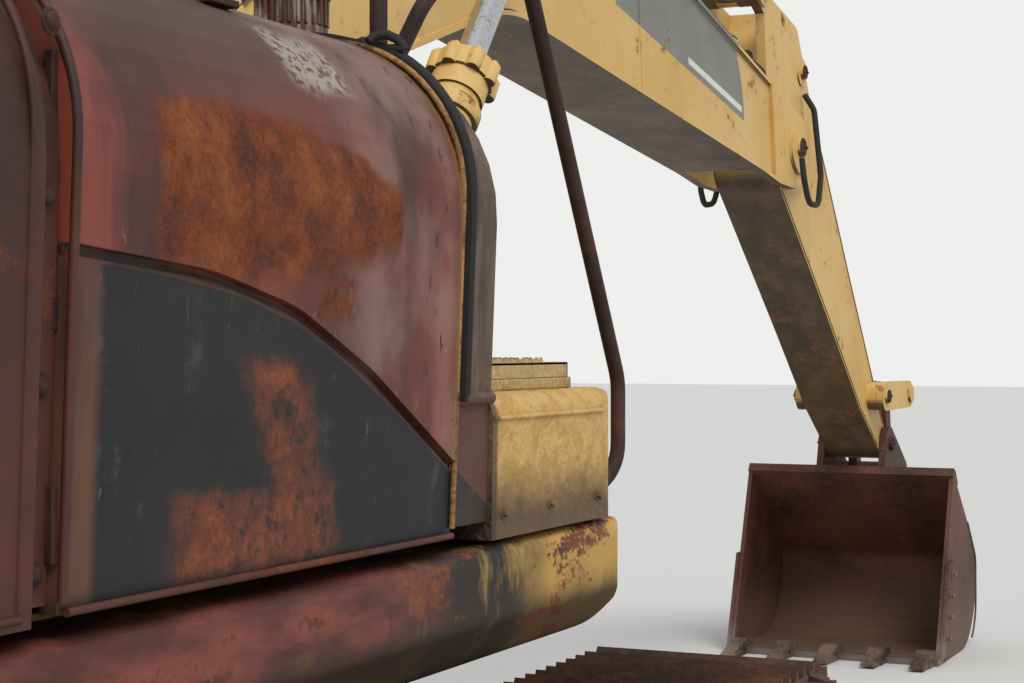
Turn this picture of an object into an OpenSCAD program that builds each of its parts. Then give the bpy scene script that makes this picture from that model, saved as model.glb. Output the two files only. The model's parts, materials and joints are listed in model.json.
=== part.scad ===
// Crawler excavator of the 25 tonne class, arm laid out in front with the bucket on the ground.
// X points forward, Y to the machine's left, Z up; the swing axis is at x = 0 before the last shift.
// Lengths are in millimetres. Points in side views are [x, z], or [x, z, corner radius].

/* [Undercarriage] */
// Distance between the sprocket and idler shafts
wheelbase = 3450; // [3200:10:3700]
// Distance between the middles of the tracks
gauge = 2590; // [2400:10:2700]
// Width of a track shoe
shoe_w = 600; // [500:10:700]
// Height of the track over its grousers
track_h = 980; // [940:10:1040]
// Height of a grouser bar
grouser_h = 26; // [15:1:35]
// Thickness of a shoe plate
shoe_t = 12; // [8:1:16]
// Height of the track chain's links
link_h = 104; // [90:1:115]
// Number of shoes on one track
shoe_count = 49; // [45:1:51]
// Radius of a bottom roller
roller_r = 78; // [70:1:85]
// Bottom rollers under one side
roller_count = 8; // [6:1:9]
// Radius of a carrier roller
carrier_r = 68; // [60:1:80]
// Width of a track frame
side_frame_w = 330; // [280:5:360]
// Outer radius of the swing bearing
bearing_r = 640; // [600:5:680]
// Height of the carbody's bearing seat above the ground
seat_z = 975; // [965:1:1000]

/* [Upper frame] */
// Height of the underside of the turning frame
frame_z = 1085; // [1080:5:1100]
// Height of the deck
deck_z = 1420; // [1400:5:1440]
// Half of the width over the side skirts
half_w = 1400; // [1360:5:1420]
// Front end of the deck
deck_front = 980; // [940:5:1020]
// Height of the side skirt's face
skirt_h = 178; // [150:1:200]
// Depth of the side skirt
skirt_d = 150; // [120:1:180]
// Radius of the counterweight's rear face about the swing axis
tail_r = 2950; // [2850:10:3050]
// Height of the top of the counterweight
weight_top = 2170; // [2100:10:2230]
// Front face of the counterweight
weight_front = -2090; // [-2120:5:-2050]
// Radius of a lifting eye's bore
eye_bore_r = 35; // [25:1:45]

/* [Housing] */
// Height of the housing over its side walls' corner
house_side_top = 2318; // [2280:2:2360]
// Height of the housing on the centre line
house_top = 2410; // [2380:5:2440]
// How far the housing's wall bulges past its foot
house_bulge = 36; // [20:1:45]
// Radius of the housing's shoulder
shoulder_r = 330; // [250:5:360]
// Thickness of panels and doors
panel_t = 38; // [25:1:50]
// Gap around a door
door_gap = 6; // [5:0.5:10]
// Rear edge of the pump door
door_rear = -1040; // [-1060:5:-1000]
// Front edge of the pump door
door_front = 90; // [60:5:110]
// Depth of the recess under the character line
arc_depth = 9; // [5:1:14]

/* [Right front] */
// Front face of the fuel tank
tank_front = 270; // [250:5:300]
// Front face of the tool box
box_front = 911; // [880:5:935]
// Height of the top of the tool box
box_top = 1700; // [1650:5:1740]
// Radius of the handrail tube
rail_r = 17; // [12:1:22]
// Radius of the filler cap
cap_r = 75; // [60:1:85]

/* [Cab] */
// Width of the cab
cab_w = 900; // [860:10:940]
// Rear wall of the cab
cab_rear = -430; // [-470:10:-400]
// Length of the cab at its waist
cab_len = 1760; // [1650:10:1800]
// Height of the cab's roof above the ground
cab_top = 2990; // [2900:10:3060]
// Thickness of the cab's walls
cab_t = 48; // [36:1:60]
// Thickness of the cab's glass
glass_t = 6; // [4:1:8]

/* [Boom] */
// Distance from the boom foot pin to the stick pin
boom_len = 6150; // [5900:10:6300]
// Angle of the boom's chord above level
boom_rest = 9.2; // [5:0.1:14]
// Width of the boom
boom_w = 430; // [400:2:450]
// How far the boom's flanges stand past its webs
flange_lip = 16; // [8:1:24]
// Thickness of the boom's flanges
flange_t = 16; // [10:1:24]
// Radius of the arm's pins
pin_r = 50; // [40:1:60]

/* [Stick and bucket] */
// Distance from the stick pin to the bucket pin
stick_len = 2528; // [2500:10:2800]
// Width of the stick
stick_w = 320; // [300:2:330]
// Thickness of the stick's webs
web_t = 45; // [35:1:60]
// Height of the bucket pin above the ground
bucket_pin_z = 1210; // [1160:2:1260]
// Width of the bucket
bucket_w = 1230; // [1000:10:1300]
// Thickness of the bucket's plates
bucket_t = 24; // [18:1:32]
// Number of bucket teeth
tooth_count = 5; // [4:1:6]
// Width of a tooth
tooth_w = 92; // [70:1:110]

/* [Cylinders] */
// Radius of the boom cylinders' barrels
boom_barrel_r = 80; // [70:1:86]
// Radius of the boom cylinders' rods
boom_rod_r = 45; // [38:1:50]
// Radius of the stick cylinder's barrel
stick_barrel_r = 86; // [75:1:92]
// Radius of the stick cylinder's rod
stick_rod_r = 48; // [40:1:50]
// Radius of the bucket cylinder's barrel
bucket_barrel_r = 76; // [65:1:80]
// Radius of the bucket cylinder's rod
bucket_rod_r = 42; // [35:1:46]

/* [Clearances] */
// Gap between moving pieces that pass each other
move_gap = 5; // [5:0.5:8]
// Running gap at pins, rods and seats
run_gap = 0.3; // [0.2:0.05:0.4]

/* [Hidden] */
$fn = 64;
// Steps in a rounded corner of an outline
corner_steps = 8;
// Steps in the round end of a link
arc_steps = 14;
// Sides of a bent tube and of a roller
tube_sides = 12;
roller_sides = 24;
wall_y = half_w - 5;
panel_in = wall_y - 95;
sprocket_x = -wheelbase / 2;
idler_x = wheelbase / 2;
track_y = gauge / 2;
track_out_y = track_y + shoe_w / 2;
axle_z = track_h / 2;
plate_r = track_h / 2 - grouser_h;
chain_out_r = plate_r - shoe_t;
chain_in_r = chain_out_r - link_h;
pitch_r = chain_out_r - link_h / 2;
loop_len = 2 * wheelbase + 2 * PI * pitch_r;
pitch = loop_len / shoe_count;
rail_in = 62;
rail_t = 46;
bearing_top = frame_z - 25;
tread_top_r = chain_in_r - run_gap;

foot_pin = [280, 1800];
foot_r = 165;
boom_tip = foot_pin + boom_len * [cos(boom_rest), sin(boom_rest)];
stick_rest = -asin((boom_tip[1] - bucket_pin_z) / stick_len);
bucket_pin = boom_tip + stick_len * [cos(stick_rest), sin(stick_rest)];
// Pins in the boom's own side view, x along its chord
boom_eye = [2601, 1047.6];
stick_cyl_foot = [3329, 1477];
// Pins in the stick's own side view, x towards the bucket
stick_eye = [-795, 315];
bucket_cyl_foot = [-60, 480];
idler_pin = [2100, 30];
// Pins on the turning frame
boom_cyl_foot = [1130, 1270];
boom_cyl_y = 400;
link_arm = 580;
link_power = 500;
ear_reach = 400;
ear_angle = 8;

function turn(p, a) = [p[0] * cos(a) - p[1] * sin(a), p[0] * sin(a) + p[1] * cos(a)];
function on_boom(p) = foot_pin + turn(p, boom_rest);
function on_stick(p) = boom_tip + turn(p, stick_rest);
function heading(a, b) = atan2(b[1] - a[1], b[0] - a[0]);
// Third corner of a triangle over pins a and b with arms ra and rb, to the left of a to b
function meet(a, b, ra, rb) =
    let (d = norm(b - a), along = (ra * ra - rb * rb + d * d) / (2 * d), up = sqrt(ra * ra - along * along))
    a + turn([along, up], heading(a, b));

ear_pin_local = [stick_len, 0] + turn([ear_reach, 0], ear_angle);
knee_local = meet(idler_pin, ear_pin_local, link_arm, link_power);
ear_pin = on_stick(ear_pin_local);
knee_pin = on_stick(knee_local);
ear_boss_r = 92;
// The bucket's back, measured from its pin, is the machine's front end
back_x = 490;
mid_x = (bucket_pin[0] + back_x - tail_r) / 2;

// Corner rounding: turns rows [x, y, r] into points, each rounded corner an arc
function corner(p, q, s, r) =
    let (
        a = heading(q, p), b = heading(q, s),
        gap = ((b - a) % 360 + 360) % 360,
        half = (gap > 180 ? 360 - gap : gap) / 2,
        run = r / tan(half),
        mid = gap > 180 ? b + (360 - gap) / 2 : a + gap / 2,
        c = q + r / sin(half) * [cos(mid), sin(mid)],
        sweep = 180 - 2 * half,
        side = gap > 180 ? 1 : -1,
        from = a + side * 90 * -1
    )
    [for (i = [0:corner_steps])
        c + r * [cos(mid + 180 + side * sweep * (i / corner_steps - 0.5)),
                 sin(mid + 180 + side * sweep * (i / corner_steps - 0.5))]];
function rounded(rows) =
    let (n = len(rows), xy = [for (q = rows) [q[0], q[1]]])
    [for (i = [0:n - 1])
        let (r = len(rows[i]) > 2 ? rows[i][2] : 0)
        each r > 0 ? corner(xy[(i + n - 1) % n], xy[i], xy[(i + 1) % n], r) : [xy[i]]];
// Moves every edge of a closed outline to its left by d; corners stay sharp
function shifted(p, d) =
    let (n = len(p))
    [for (i = [0:n - 1])
        let (
            a = p[(i + n - 1) % n], b = p[i], c = p[(i + 1) % n],
            u = (b - a) / norm(b - a), v = (c - b) / norm(c - b),
            nu = [-u[1], u[0]], nv = [-v[1], v[0]],
            m = nu + nv
        )
        b + 2 * d * m / (m * m)];

// Draws a side view [x, z] as a solid between y0 and y1
module across(y0, y1) {
    translate([0, y1, 0]) rotate([90, 0, 0]) linear_extrude(y1 - y0) children();
}
// Draws a front view [y, z] as a solid between x0 and x1
module along(x0, x1) {
    translate([x0, 0, 0]) rotate([90, 0, 90]) linear_extrude(x1 - x0) children();
}
module shaft(p, r, y0, y1) {
    across(y0, y1) translate(p) circle(r);
}
module box(lo, hi) {
    translate(lo) cube(hi - lo);
}
module both_sides() {
    children();
    mirror([0, 1, 0]) children();
}
// Flat link over two round ends
module capsule(a, ra, b, rb) {
    lean = acos((ra - rb) / norm(b - a));
    h = heading(a, b);
    polygon(concat(
        [for (i = [0:arc_steps]) a + turn([ra, 0], h + lean + (360 - 2 * lean) * i / arc_steps)],
        [for (i = [0:arc_steps]) b + turn([rb, 0], h - lean + 2 * lean * i / arc_steps)]
    ));
}
module at_boom() {
    translate([foot_pin[0], 0, foot_pin[1]]) rotate([0, -boom_rest, 0]) children();
}
module at_stick() {
    translate([boom_tip[0], 0, boom_tip[1]]) rotate([0, -stick_rest, 0]) children();
}
module at_bucket() {
    translate([bucket_pin[0], 0, bucket_pin[1]]) children();
}
// Lies a solid drawn along +X from a to b
module between(a, b) {
    translate([a[0], 0, a[1]]) rotate([0, -heading(a, b), 0]) children();
}
// Round bar through a list of points, mitred at each bend
function bend_run(p, i, r) =
    i <= 0 || i >= len(p) - 1 ? 0 :
    let (u = (p[i] - p[i - 1]) / norm(p[i] - p[i - 1]), v = (p[i + 1] - p[i]) / norm(p[i + 1] - p[i]))
    r * tan(acos(min(1, u * v)) / 2);
module tube_path(points, r) {
    for (i = [0:len(points) - 2]) {
        d = points[i + 1] - points[i];
        u = d / norm(d);
        back = bend_run(points, i, r);
        fore = bend_run(points, i + 1, r);
        translate(points[i] - u * back) rotate([0, acos(u[2]), atan2(u[1], u[0])])
            cylinder(r = r, h = norm(d) + back + fore, $fn = tube_sides);
    }
}

// Undercarriage

// A place on the track loop: s along the pitch line from the top middle, r outwards from it
function loop_place(s, r) =
    let (arc = PI * pitch_r, t = s % loop_len)
    t < wheelbase / 2 ? [[t, axle_z + r], 0]
    : t < wheelbase / 2 + arc ?
        let (a = (t - wheelbase / 2) / arc * 180) [[idler_x + r * sin(a), axle_z + r * cos(a)], -a]
    : t < 1.5 * wheelbase + arc ? [[idler_x - (t - wheelbase / 2 - arc), axle_z - r], 180]
    : t < 1.5 * wheelbase + 2 * arc ?
        let (a = (t - 1.5 * wheelbase - arc) / arc * 180) [[sprocket_x - r * sin(a), axle_z - r *
            cos(a)], 180 - a]
    : [[t - loop_len, axle_z + r], 0];

module on_loop(i) {
    place = loop_place((i + 0.5) * pitch, 0);
    translate(place[0]) rotate(place[1]) children();
}
bar_w = 22;
module shoe_outline() {
    lap = 1.5;
    x0 = -pitch / 2;
    x1 = pitch / 2 + lap;
    polygon(concat(
        [[x0, chain_out_r - lap], [x0, plate_r]],
        [for (k = [0:2]) let (c = x0 + pitch * (k + 0.5) / 3)
            each [[c - bar_w / 2, plate_r], [c, track_h / 2], [c + bar_w / 2, plate_r]]],
        [[x1, plate_r], [x1, chain_out_r - lap]]
    ));
}
module link_outline() {
    polygon([
        [-pitch / 2, chain_out_r], [-pitch / 2, chain_in_r], [pitch / 2 + 1.5, chain_in_r], [pitch / 2 +
            1.5, chain_out_r]
    ]);
}
module track(side) {
    color([0.23, 0.17, 0.14]) {
        across(side * track_y - shoe_w / 2, side * track_y + shoe_w / 2)
            for (i = [0:shoe_count - 1]) on_loop(i) shoe_outline();
        for (k = [-1, 1]) {
            y = side * track_y + k * (rail_in + rail_t / 2);
            across(y - rail_t / 2, y + rail_t / 2) for (i = [0:shoe_count - 1]) on_loop(i) link_outline();
        }
    }
}
tooth_n = 21;
hub_w = 2 * rail_in - 2 * move_gap;
module sprocket(side) {
    color([0.55, 0.47, 0.3]) translate([sprocket_x, side * track_y, axle_z]) {
        rotate([90, 0, 0]) {
            difference() {
                linear_extrude(60, center = true) {
                    circle(chain_in_r - 6);
                    for (i = [0:tooth_n - 1]) rotate(i * 360 / tooth_n)
                        polygon([[chain_in_r - 20, -30], [pitch_r - 4, -13], [pitch_r - 4, 13],
                            [chain_in_r - 20, 30]]);
                }
                for (i = [0:7]) rotate(i * 45) translate([250, 0, -40]) cylinder(r = 32, h = 80);
            }
            // Final drive housing, wider towards the machine
            rotate([side * -90 + 90, 0, 0]) rotate_extrude()
                polygon([[0, -95], [215, -95], [235, -60], [235, 20], [200, 150], [200, 215], [0, 215]]);
        }
    }
}
module idler(side) {
    color([0.3, 0.22, 0.17]) translate([idler_x, side * track_y, axle_z]) rotate([90, 0, 0]) {
        rotate_extrude() polygon([
            [60, -85], [150, -85], [150, -40], [250, -26], [290, -58], [tread_top_r - 22, -58],
            [tread_top_r - 22, -rail_in - rail_t + 8], [tread_top_r, -rail_in - rail_t + 8],
            [tread_top_r, -rail_in + 12], [tread_top_r + 18, -rail_in + 18],
            [tread_top_r + 18, rail_in - 18], [tread_top_r, rail_in - 12],
            [tread_top_r, rail_in + rail_t - 8], [tread_top_r - 22, rail_in + rail_t - 8],
            [tread_top_r - 22, 58], [290, 58], [250, 26], [150, 40], [150, 85], [60, 85]
        ]);
        cylinder(r = 60, h = 2 * yoke_y, center = true);
    }
}
yoke_y = side_frame_w / 2 - 30;
plate_floor = grouser_h + shoe_t + link_h;
frame_bottom = plate_floor + 2 * roller_r + 10;
frame_top = 640;
// Side view of a track frame: low in front for the idler, cut away behind for the sprocket
module side_frame(side) {
    y0 = side * track_y - side_frame_w / 2;
    y1 = side * track_y + side_frame_w / 2;
    x_front = idler_x - tread_top_r - 32;
    x_rear = sprocket_x + pitch_r + 14;
    slope = 90;
    color([0.42, 0.33, 0.2]) {
        // Box beam with bevelled top edges
        along(x_rear, x_front) polygon([
            [y0, frame_bottom], [y1, frame_bottom], [y1, frame_top - slope], [y1 - slope, frame_top],
            [y0 + slope, frame_top], [y0, frame_top - slope]
        ]);
        for (k = [-1, 1]) {
            y = side * track_y + k * (side_frame_w / 2 - 15);
            // Idler guide plates
            across(y - 15, y + 15) difference() {
                polygon(rounded([
                    [x_front - 60, frame_bottom + 5], [idler_x + 120, axle_z - 90, 60],
                    [idler_x + 120, axle_z + 90, 60], [x_front - 60, frame_top - slope - 10]
                ]));
            }
            // Final drive carrier plates
            across(y - 15, y + 15) polygon(rounded([
                [x_rear + 60, frame_bottom + 10], [x_rear + 60, frame_top - slope - 10],
                [sprocket_x + 235, axle_z + 130, 60], [sprocket_x + 235, axle_z - 130, 60]
            ]));
            // Roller flange
            across(y - 15, y + 15) polygon([
                [x_rear + 120, roller_z - 44], [x_front - 100, roller_z - 44],
                [x_front - 100, frame_bottom + 5], [x_rear + 120, frame_bottom + 5]
            ]);
        }
        // Carrier roller posts
        for (x = carrier_x) {
            box([x - 45, side * track_y - 40, frame_top - 1], [x + 45, side * track_y + 40, carrier_z -
                34 - run_gap]);
        }
    }
}
roller_z = plate_floor + roller_r + run_gap;
carrier_z = axle_z + chain_in_r - carrier_r - run_gap;
carrier_x = [-620, 560];
roller_end = wheelbase / 2 - 520;
module rollers(side) {
    color([0.2, 0.15, 0.12]) {
        for (i = [0:roller_count - 1]) {
            x = -roller_end + 2 * roller_end * i / (roller_count - 1);
            translate([x, side * track_y, roller_z]) rotate([90, 0, 0]) {
                rotate_extrude($fn = roller_sides) polygon([
                    [0, -yoke_y + 1], [32, -yoke_y + 1], [32, -118], [roller_r, -112],
                    [roller_r, -rail_in + 6], [roller_r - 22, -rail_in + 14],
                    [roller_r - 22, rail_in - 14], [roller_r, rail_in - 6], [roller_r, 112],
                    [32, 118], [32, yoke_y - 1], [0, yoke_y - 1]
                ]);
            }
        }
        for (x = carrier_x) translate([x, side * track_y, carrier_z]) rotate([90, 0, 0]) {
            rotate_extrude($fn = roller_sides) polygon([
                [0, -115], [carrier_r - 14, -115], [carrier_r, -108], [carrier_r, -52], [34, -46],
                [34, 46], [carrier_r, 52], [carrier_r, 108], [carrier_r - 14, 115], [0, 115]
            ]);
        }
    }
}
leg_x = 620;
module carbody() {
    frame_in = track_y - side_frame_w / 2;
    color([0.42, 0.33, 0.2]) {
        difference() {
            union() {
                // Middle box and its four legs
                translate([0, 0, 560]) linear_extrude(210) polygon([
                    [-760, -420], [-300, -560], [300, -560], [760, -420],
                    [760, 420], [300, 560], [-300, 560], [-760, 420]
                ]);
                for (sx = [-1, 1], sy = [-1, 1]) difference() {
                    translate([0, 0, 470]) linear_extrude(290) polygon([
                        [sx * 250, sy * 330], [sx * 700, sy * 200],
                        [sx * (leg_x + 230), sy * frame_in], [sx * (leg_x - 170), sy * frame_in]
                    ]);
                    along(-1200, 1200) polygon([
                        [sy * 300, 440], [sy * 300, 560], [sy * 700, 560], [sy * (frame_in - 60), 480],
                        [sy * (frame_in - 60), 440]
                    ]);
                    along(-1200, 1200) polygon([
                        [sy * 640, 780], [sy * 640, 759], [sy * (frame_in - 150), 690], [sy *
                            (frame_in + 5), 640],
                        [sy * (frame_in + 5), 780]
                    ]);
                }
                // Bearing seat
                translate([0, 0, 760]) cylinder(r = bearing_r - 20, h = seat_z - 760);
            }
            translate([0, 0, 900]) cylinder(r = bearing_r - 170, h = 200);
            // Tow slots through the lower plates
            for (sx = [-1, 1]) translate([sx * 690, 0, 500]) cylinder(r = tow_r, h = 400);
        }
    }
}
tow_r = 32;
module swing_bearing() {
    color([0.2, 0.18, 0.16]) translate([0, 0, seat_z]) rotate_extrude() polygon([
        [bearing_r - 150, 0], [bearing_r, 0], [bearing_r, 42], [bearing_r - 14, 50],
        [bearing_r - 14, bearing_top - seat_z - run_gap], [bearing_r - 150, bearing_top - seat_z - run_gap]
    ]);
}

// Turning frame

bracket_t = 50;
bracket_in = 290 + move_gap;
ear_in = boom_cyl_y - 55;
module upper_frame() {
    color([0.62, 0.5, 0.26]) {
        difference() {
            union() {
                // Bottom plate and upper race
                translate([0, 0, bearing_top]) cylinder(r = bearing_r - 30, h = frame_z - bearing_top + 1);
                box([-2080, -560, frame_z], [820, 560, frame_z + 40]);
                // Centre box behind the boom
                box([-2080, -430, frame_z + 39], [-380, 430, deck_z]);
                // Long boom bracket plates
                both_sides() across(bracket_in, bracket_in + bracket_t) polygon(rounded([
                    [-1300, frame_z + 30], [boom_cyl_foot[0] + 60, frame_z + 30, 40],
                    [boom_cyl_foot[0] + 125, boom_cyl_foot[1] + 20, 90],
                    [boom_cyl_foot[0] - 90, boom_cyl_foot[1] + 130, 100],
                    [foot_pin[0] + 330, deck_z + 90, 200],
                    [foot_pin[0] + foot_r, foot_pin[1] + foot_r, foot_r - 5],
                    [foot_pin[0] - foot_r, foot_pin[1] + foot_r, foot_r - 5],
                    [foot_pin[0] - 330, deck_z + 120, 300], [-1300, deck_z]
                ]));
                // Outer ears of the boom cylinders
                both_sides() {
                    across(boom_cyl_y + 55, boom_cyl_y + 95) polygon(rounded([
                        [500, frame_z + 20], [boom_cyl_foot[0] + 30, frame_z + 20, 40],
                        [boom_cyl_foot[0] + 110, boom_cyl_foot[1] + 10, 90],
                        [boom_cyl_foot[0] - 40, boom_cyl_foot[1] + 115, 90], [500, deck_z - 60]
                    ]));
                    box([500, bracket_in + 10, frame_z + 1], [700, boom_cyl_y + 60, deck_z - 60]);
                }
                // Side decks on cross beams
                both_sides() {
                    box([-2080, 429, deck_z - 30], [deck_front - 20, half_w - skirt_d, deck_z]);
                    for (x = [-1900, -1100, -300, 500]) along(x, x + 90) polygon([
                        [429, frame_z + 30], [560, frame_z + 30], [half_w - skirt_d - 10, deck_z - 170],
                        [half_w - skirt_d - 10, deck_z - 29], [429, deck_z - 29]
                    ]);
                }
            }
            both_sides() shaft(foot_pin, pin_r + 8, 200, 500);
            translate([0, 0, frame_z - 100]) cylinder(r = 180, h = 200);
        }
        // Boom foot pin and cylinder foot pins
        shaft(foot_pin, pin_r + 8, -bracket_in - bracket_t - 22, bracket_in + bracket_t + 22);
        both_sides() shaft(boom_cyl_foot, pin_r - 10, bracket_in + 20, boom_cyl_y + 95 + 18);
    }
}
// D shaped side skirt, rounded over the top and at its front end
module side_skirt(side) {
    top = deck_z - 10;
    front = deck_front;
    rear = weight_front + 6;
    inner = half_w - skirt_d;
    color([0.5, 0.33, 0.2]) mirror([0, side < 0 ? 1 : 0, 0]) difference() {
        along(rear, front) polygon(rounded([
            [inner, top - skirt_h - 60], [half_w - 70, top - skirt_h - 60, 60], [half_w, top - skirt_h +
                40, 60],
            [half_w, top, 36], [inner, top]
        ]));
        // Front end sweeps round and up
        across(inner - 10, half_w + 10) polygon(concat(
            [[front + 10, top - 120], [front, top - 120]],
            [for (i = [0:corner_steps]) let (a = 90 * i / corner_steps)
                [front - 190 + 190 * cos(a), top - 120 - 120 * sin(a)]],
            [[front - 190, top - skirt_h - 90], [front + 10, top - skirt_h - 90]]
        ));
        translate([front - 90, half_w - 90, top - 400]) difference() {
            translate([0, 0, 0]) cube([100, 100, 500]);
            translate([0, 0, -1]) cylinder(r = 90, h = 502);
        }
    }
}
module counterweight() {
    low = frame_z + 4;
    color([0.55, 0.42, 0.22]) difference() {
        intersection() {
            // Body of revolution about the swing axis with rounded rims
            rotate_extrude($fn = 128) polygon(rounded([
                [1500, low], [tail_r - 110, low, 60], [tail_r, low + 230, 240], [tail_r, weight_top -
                    260, 260],
                [tail_r - 130, weight_top, 110], [1500, weight_top + 20]
            ]));
            linear_extrude(3000) polygon(rounded([
                [weight_front, half_w], [-2500, half_w, 500], [-3200, half_w - 250], [-3200, 250 - half_w],
                [-2500, -half_w, 500], [weight_front, -half_w]
            ]));
        }
        // Recess for the rear plate and slot for the lower hitch
        box([-3200, -330, low + 330], [-tail_r + 26, 330, low + 620]);
        translate([-tail_r + 60, 0, low - 10]) cylinder(r = 42, h = 200);
        for (k = [-1, 1]) translate([weight_eye_x, k * 760, weight_top - 70]) cylinder(r = 95, h = 120);
    }
    color([0.2, 0.17, 0.15]) for (k = [-1, 1]) difference() {
        across(k * 760 - 25, k * 760 + 25) {
            translate([weight_eye_x, weight_eye_z]) circle(72);
            polygon([
                [weight_eye_x - 72, weight_top - 71], [weight_eye_x + 72, weight_top - 71],
                [weight_eye_x + 72, weight_eye_z], [weight_eye_x - 72, weight_eye_z]
            ]);
        }
        shaft([weight_eye_x, weight_eye_z], eye_bore_r, k * 760 - 30, k * 760 + 30);
    }
}
weight_eye_x = -2480;
// Eye bores lie clear over the counterweight's top
weight_eye_z = weight_top + eye_bore_r + 25;

// Housing of engine, pumps and tanks

roof_knee = wall_y - 495;
function roof_z(y) = house_top - 12 + (house_side_top - house_top + 12) * (y - roof_knee) / (wall_y +
    house_bulge + 10 - roof_knee);
function house_rows(y) = concat(
    [[y, deck_z + 15], [wall_y + 10, deck_z + 15], [wall_y + house_bulge + 10, house_side_top, shoulder_r]],
    y < roof_knee - 60 ? [[roof_knee, house_top - 12, 500], [y, house_top]] : [[y, roof_z(y)]]
);
function house_outline(y, d) = shifted(rounded(house_rows(y)), d);
// Inner outline that runs out past the panel's edge and its foot
function house_inner(y, d) =
    [for (p = shifted(rounded(house_rows(y - 2 * d)), d)) [p[0], p[1] < deck_z + 16 + d ? deck_z : p[1]]];
module house_shell(x0, x1, y) {
    along(x0, x1) difference() {
        polygon(house_outline(y, 0));
        polygon(house_inner(y, panel_t));
    }
}
roof_y = wall_y - 265;
hood_x = [-1990, -1210];
hood_y = wall_y - 555;
left_door_x = [-1980, -1180];
module engine_housing() {
    color([0.5, 0.25, 0.15]) difference() {
        union() {
            both_sides() house_shell(weight_front + 8, door_rear - 60, 0);
            // Door pillar, set back from the panels
            mirror([0, 1, 0]) along(door_rear - 62, door_rear - door_gap) difference() {
                polygon(house_outline(roof_y - 16, 22));
                polygon(house_inner(roof_y - 16, 120));
            }
            // Bulkhead in front of the engine
            both_sides() along(door_rear - 110, door_rear - 70)
                polygon([for (p = house_outline(0, 10)) [p[0] < 11 ? 0 : p[0], p[1]]]);
        }
        // Hood opening and radiator door opening
        box([hood_x[0], -hood_y, house_top - 200], [hood_x[1], hood_y, house_top + 100]);
        box([left_door_x[0], panel_in - 300, deck_z + 60], [left_door_x[1], half_w + 200,
            house_side_top - 330]);
        // Middle of the bulkhead stays open over the valves
        box([door_rear - 120, -380, deck_z + 60], [door_rear - 60, 380, 1950]);
    }
}
module engine_hood() {
    rise = 62;
    color([0.45, 0.22, 0.14]) difference() {
        union() {
            box([hood_x[0] + door_gap, -hood_y + door_gap, house_top - 45],
                [hood_x[1] - door_gap, hood_y - door_gap, house_top - 12]);
            along(hood_x[0] + 60, hood_x[1] - 60) polygon(rounded([
                [-hood_y + 70, house_top - 13], [hood_y - 70, house_top - 13], [hood_y - 190,
                    house_top + rise, 60],
                [-hood_y + 190, house_top + rise, 60]
            ]));
        }
        along(hood_x[0] + 90, hood_x[1] - 90) polygon([
            [-hood_y + 150, house_top - 60], [hood_y - 150, house_top - 60], [hood_y - 240, house_top +
                rise - 22],
            [-hood_y + 240, house_top + rise - 22]
        ]);
    }
}
module pump_door() {
    x0 = door_rear;
    x1 = door_front;
    color([0.52, 0.2, 0.14]) mirror([0, 1, 0]) difference() {
        along(x0, x1) difference() {
            polygon(house_outline(roof_y, 0));
            polygon(house_inner(roof_y, panel_t));
        }
        // Recess under the character line, with a deeper groove along it
        difference() {
            across(wall_y - 100, half_w + 100) polygon(rounded(line_rows(0)));
            along(x0 - 2, x1 + 2) polygon(house_outline(wall_y - 300, arc_depth));
        }
        difference() {
            across(wall_y - 100, half_w + 100) difference() {
                polygon(rounded(line_rows(0)));
                polygon(rounded(line_rows(groove_w)));
            }
            along(x0 - 2, x1 + 2) polygon(house_outline(wall_y - 300, arc_depth + 10));
        }
        // Clear edges below
        box([x0 - 1, roof_y - 30, deck_z - 10], [x1 + 1, half_w + 200, deck_z + 15 + door_gap]);
    }
}
groove_w = 14;
// The character line falls from the door's rear edge in a long arc and runs on to the tank
function line_rows(d) = [
    [-1400, deck_z - 100], [tank_front + 100, deck_z - 100], [tank_front + 100, deck_z - 20 - d],
    [door_front + 22, deck_z + 144 - d, 300], [-240, deck_z + 332 - d, 500], [-480, deck_z + 430 - d, 500],
    [-720, deck_z + 479 - d, 700], [-1400, deck_z + 528 - d]
];
module radiator_door() {
    x0 = left_door_x[0] + door_gap;
    x1 = left_door_x[1] - door_gap;
    z0 = deck_z + 60 + door_gap;
    z1 = house_side_top - 330 - door_gap;
    color([0.5, 0.4, 0.22]) difference() {
        intersection() {
            along(x0, x1) difference() {
                polygon(house_outline(panel_in - 300, 0));
                polygon(house_inner(panel_in - 300, panel_t));
            }
            box([x0, panel_in, z0], [x1, half_w + 200, z1]);
        }
        // Louvres
        for (i = [0:6]) box([x0 + 120, panel_in, z0 + 60 + i * 58], [x1 - 120, half_w + 200, z0 + 84 +
            i * 58]);
    }
}
module door_seal() {
    color([0.05, 0.05, 0.05]) mirror([0, 1, 0]) difference() {
        along(door_front + 2, door_front + 2 + 12) difference() {
            polygon(house_outline(roof_y - 60, -12));
            polygon(house_inner(roof_y - 60, 30));
        }
        box([door_front - 10, roof_y - 130, deck_z], [door_front + 40, half_w + 200, box_top - 12]);
    }
}
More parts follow.
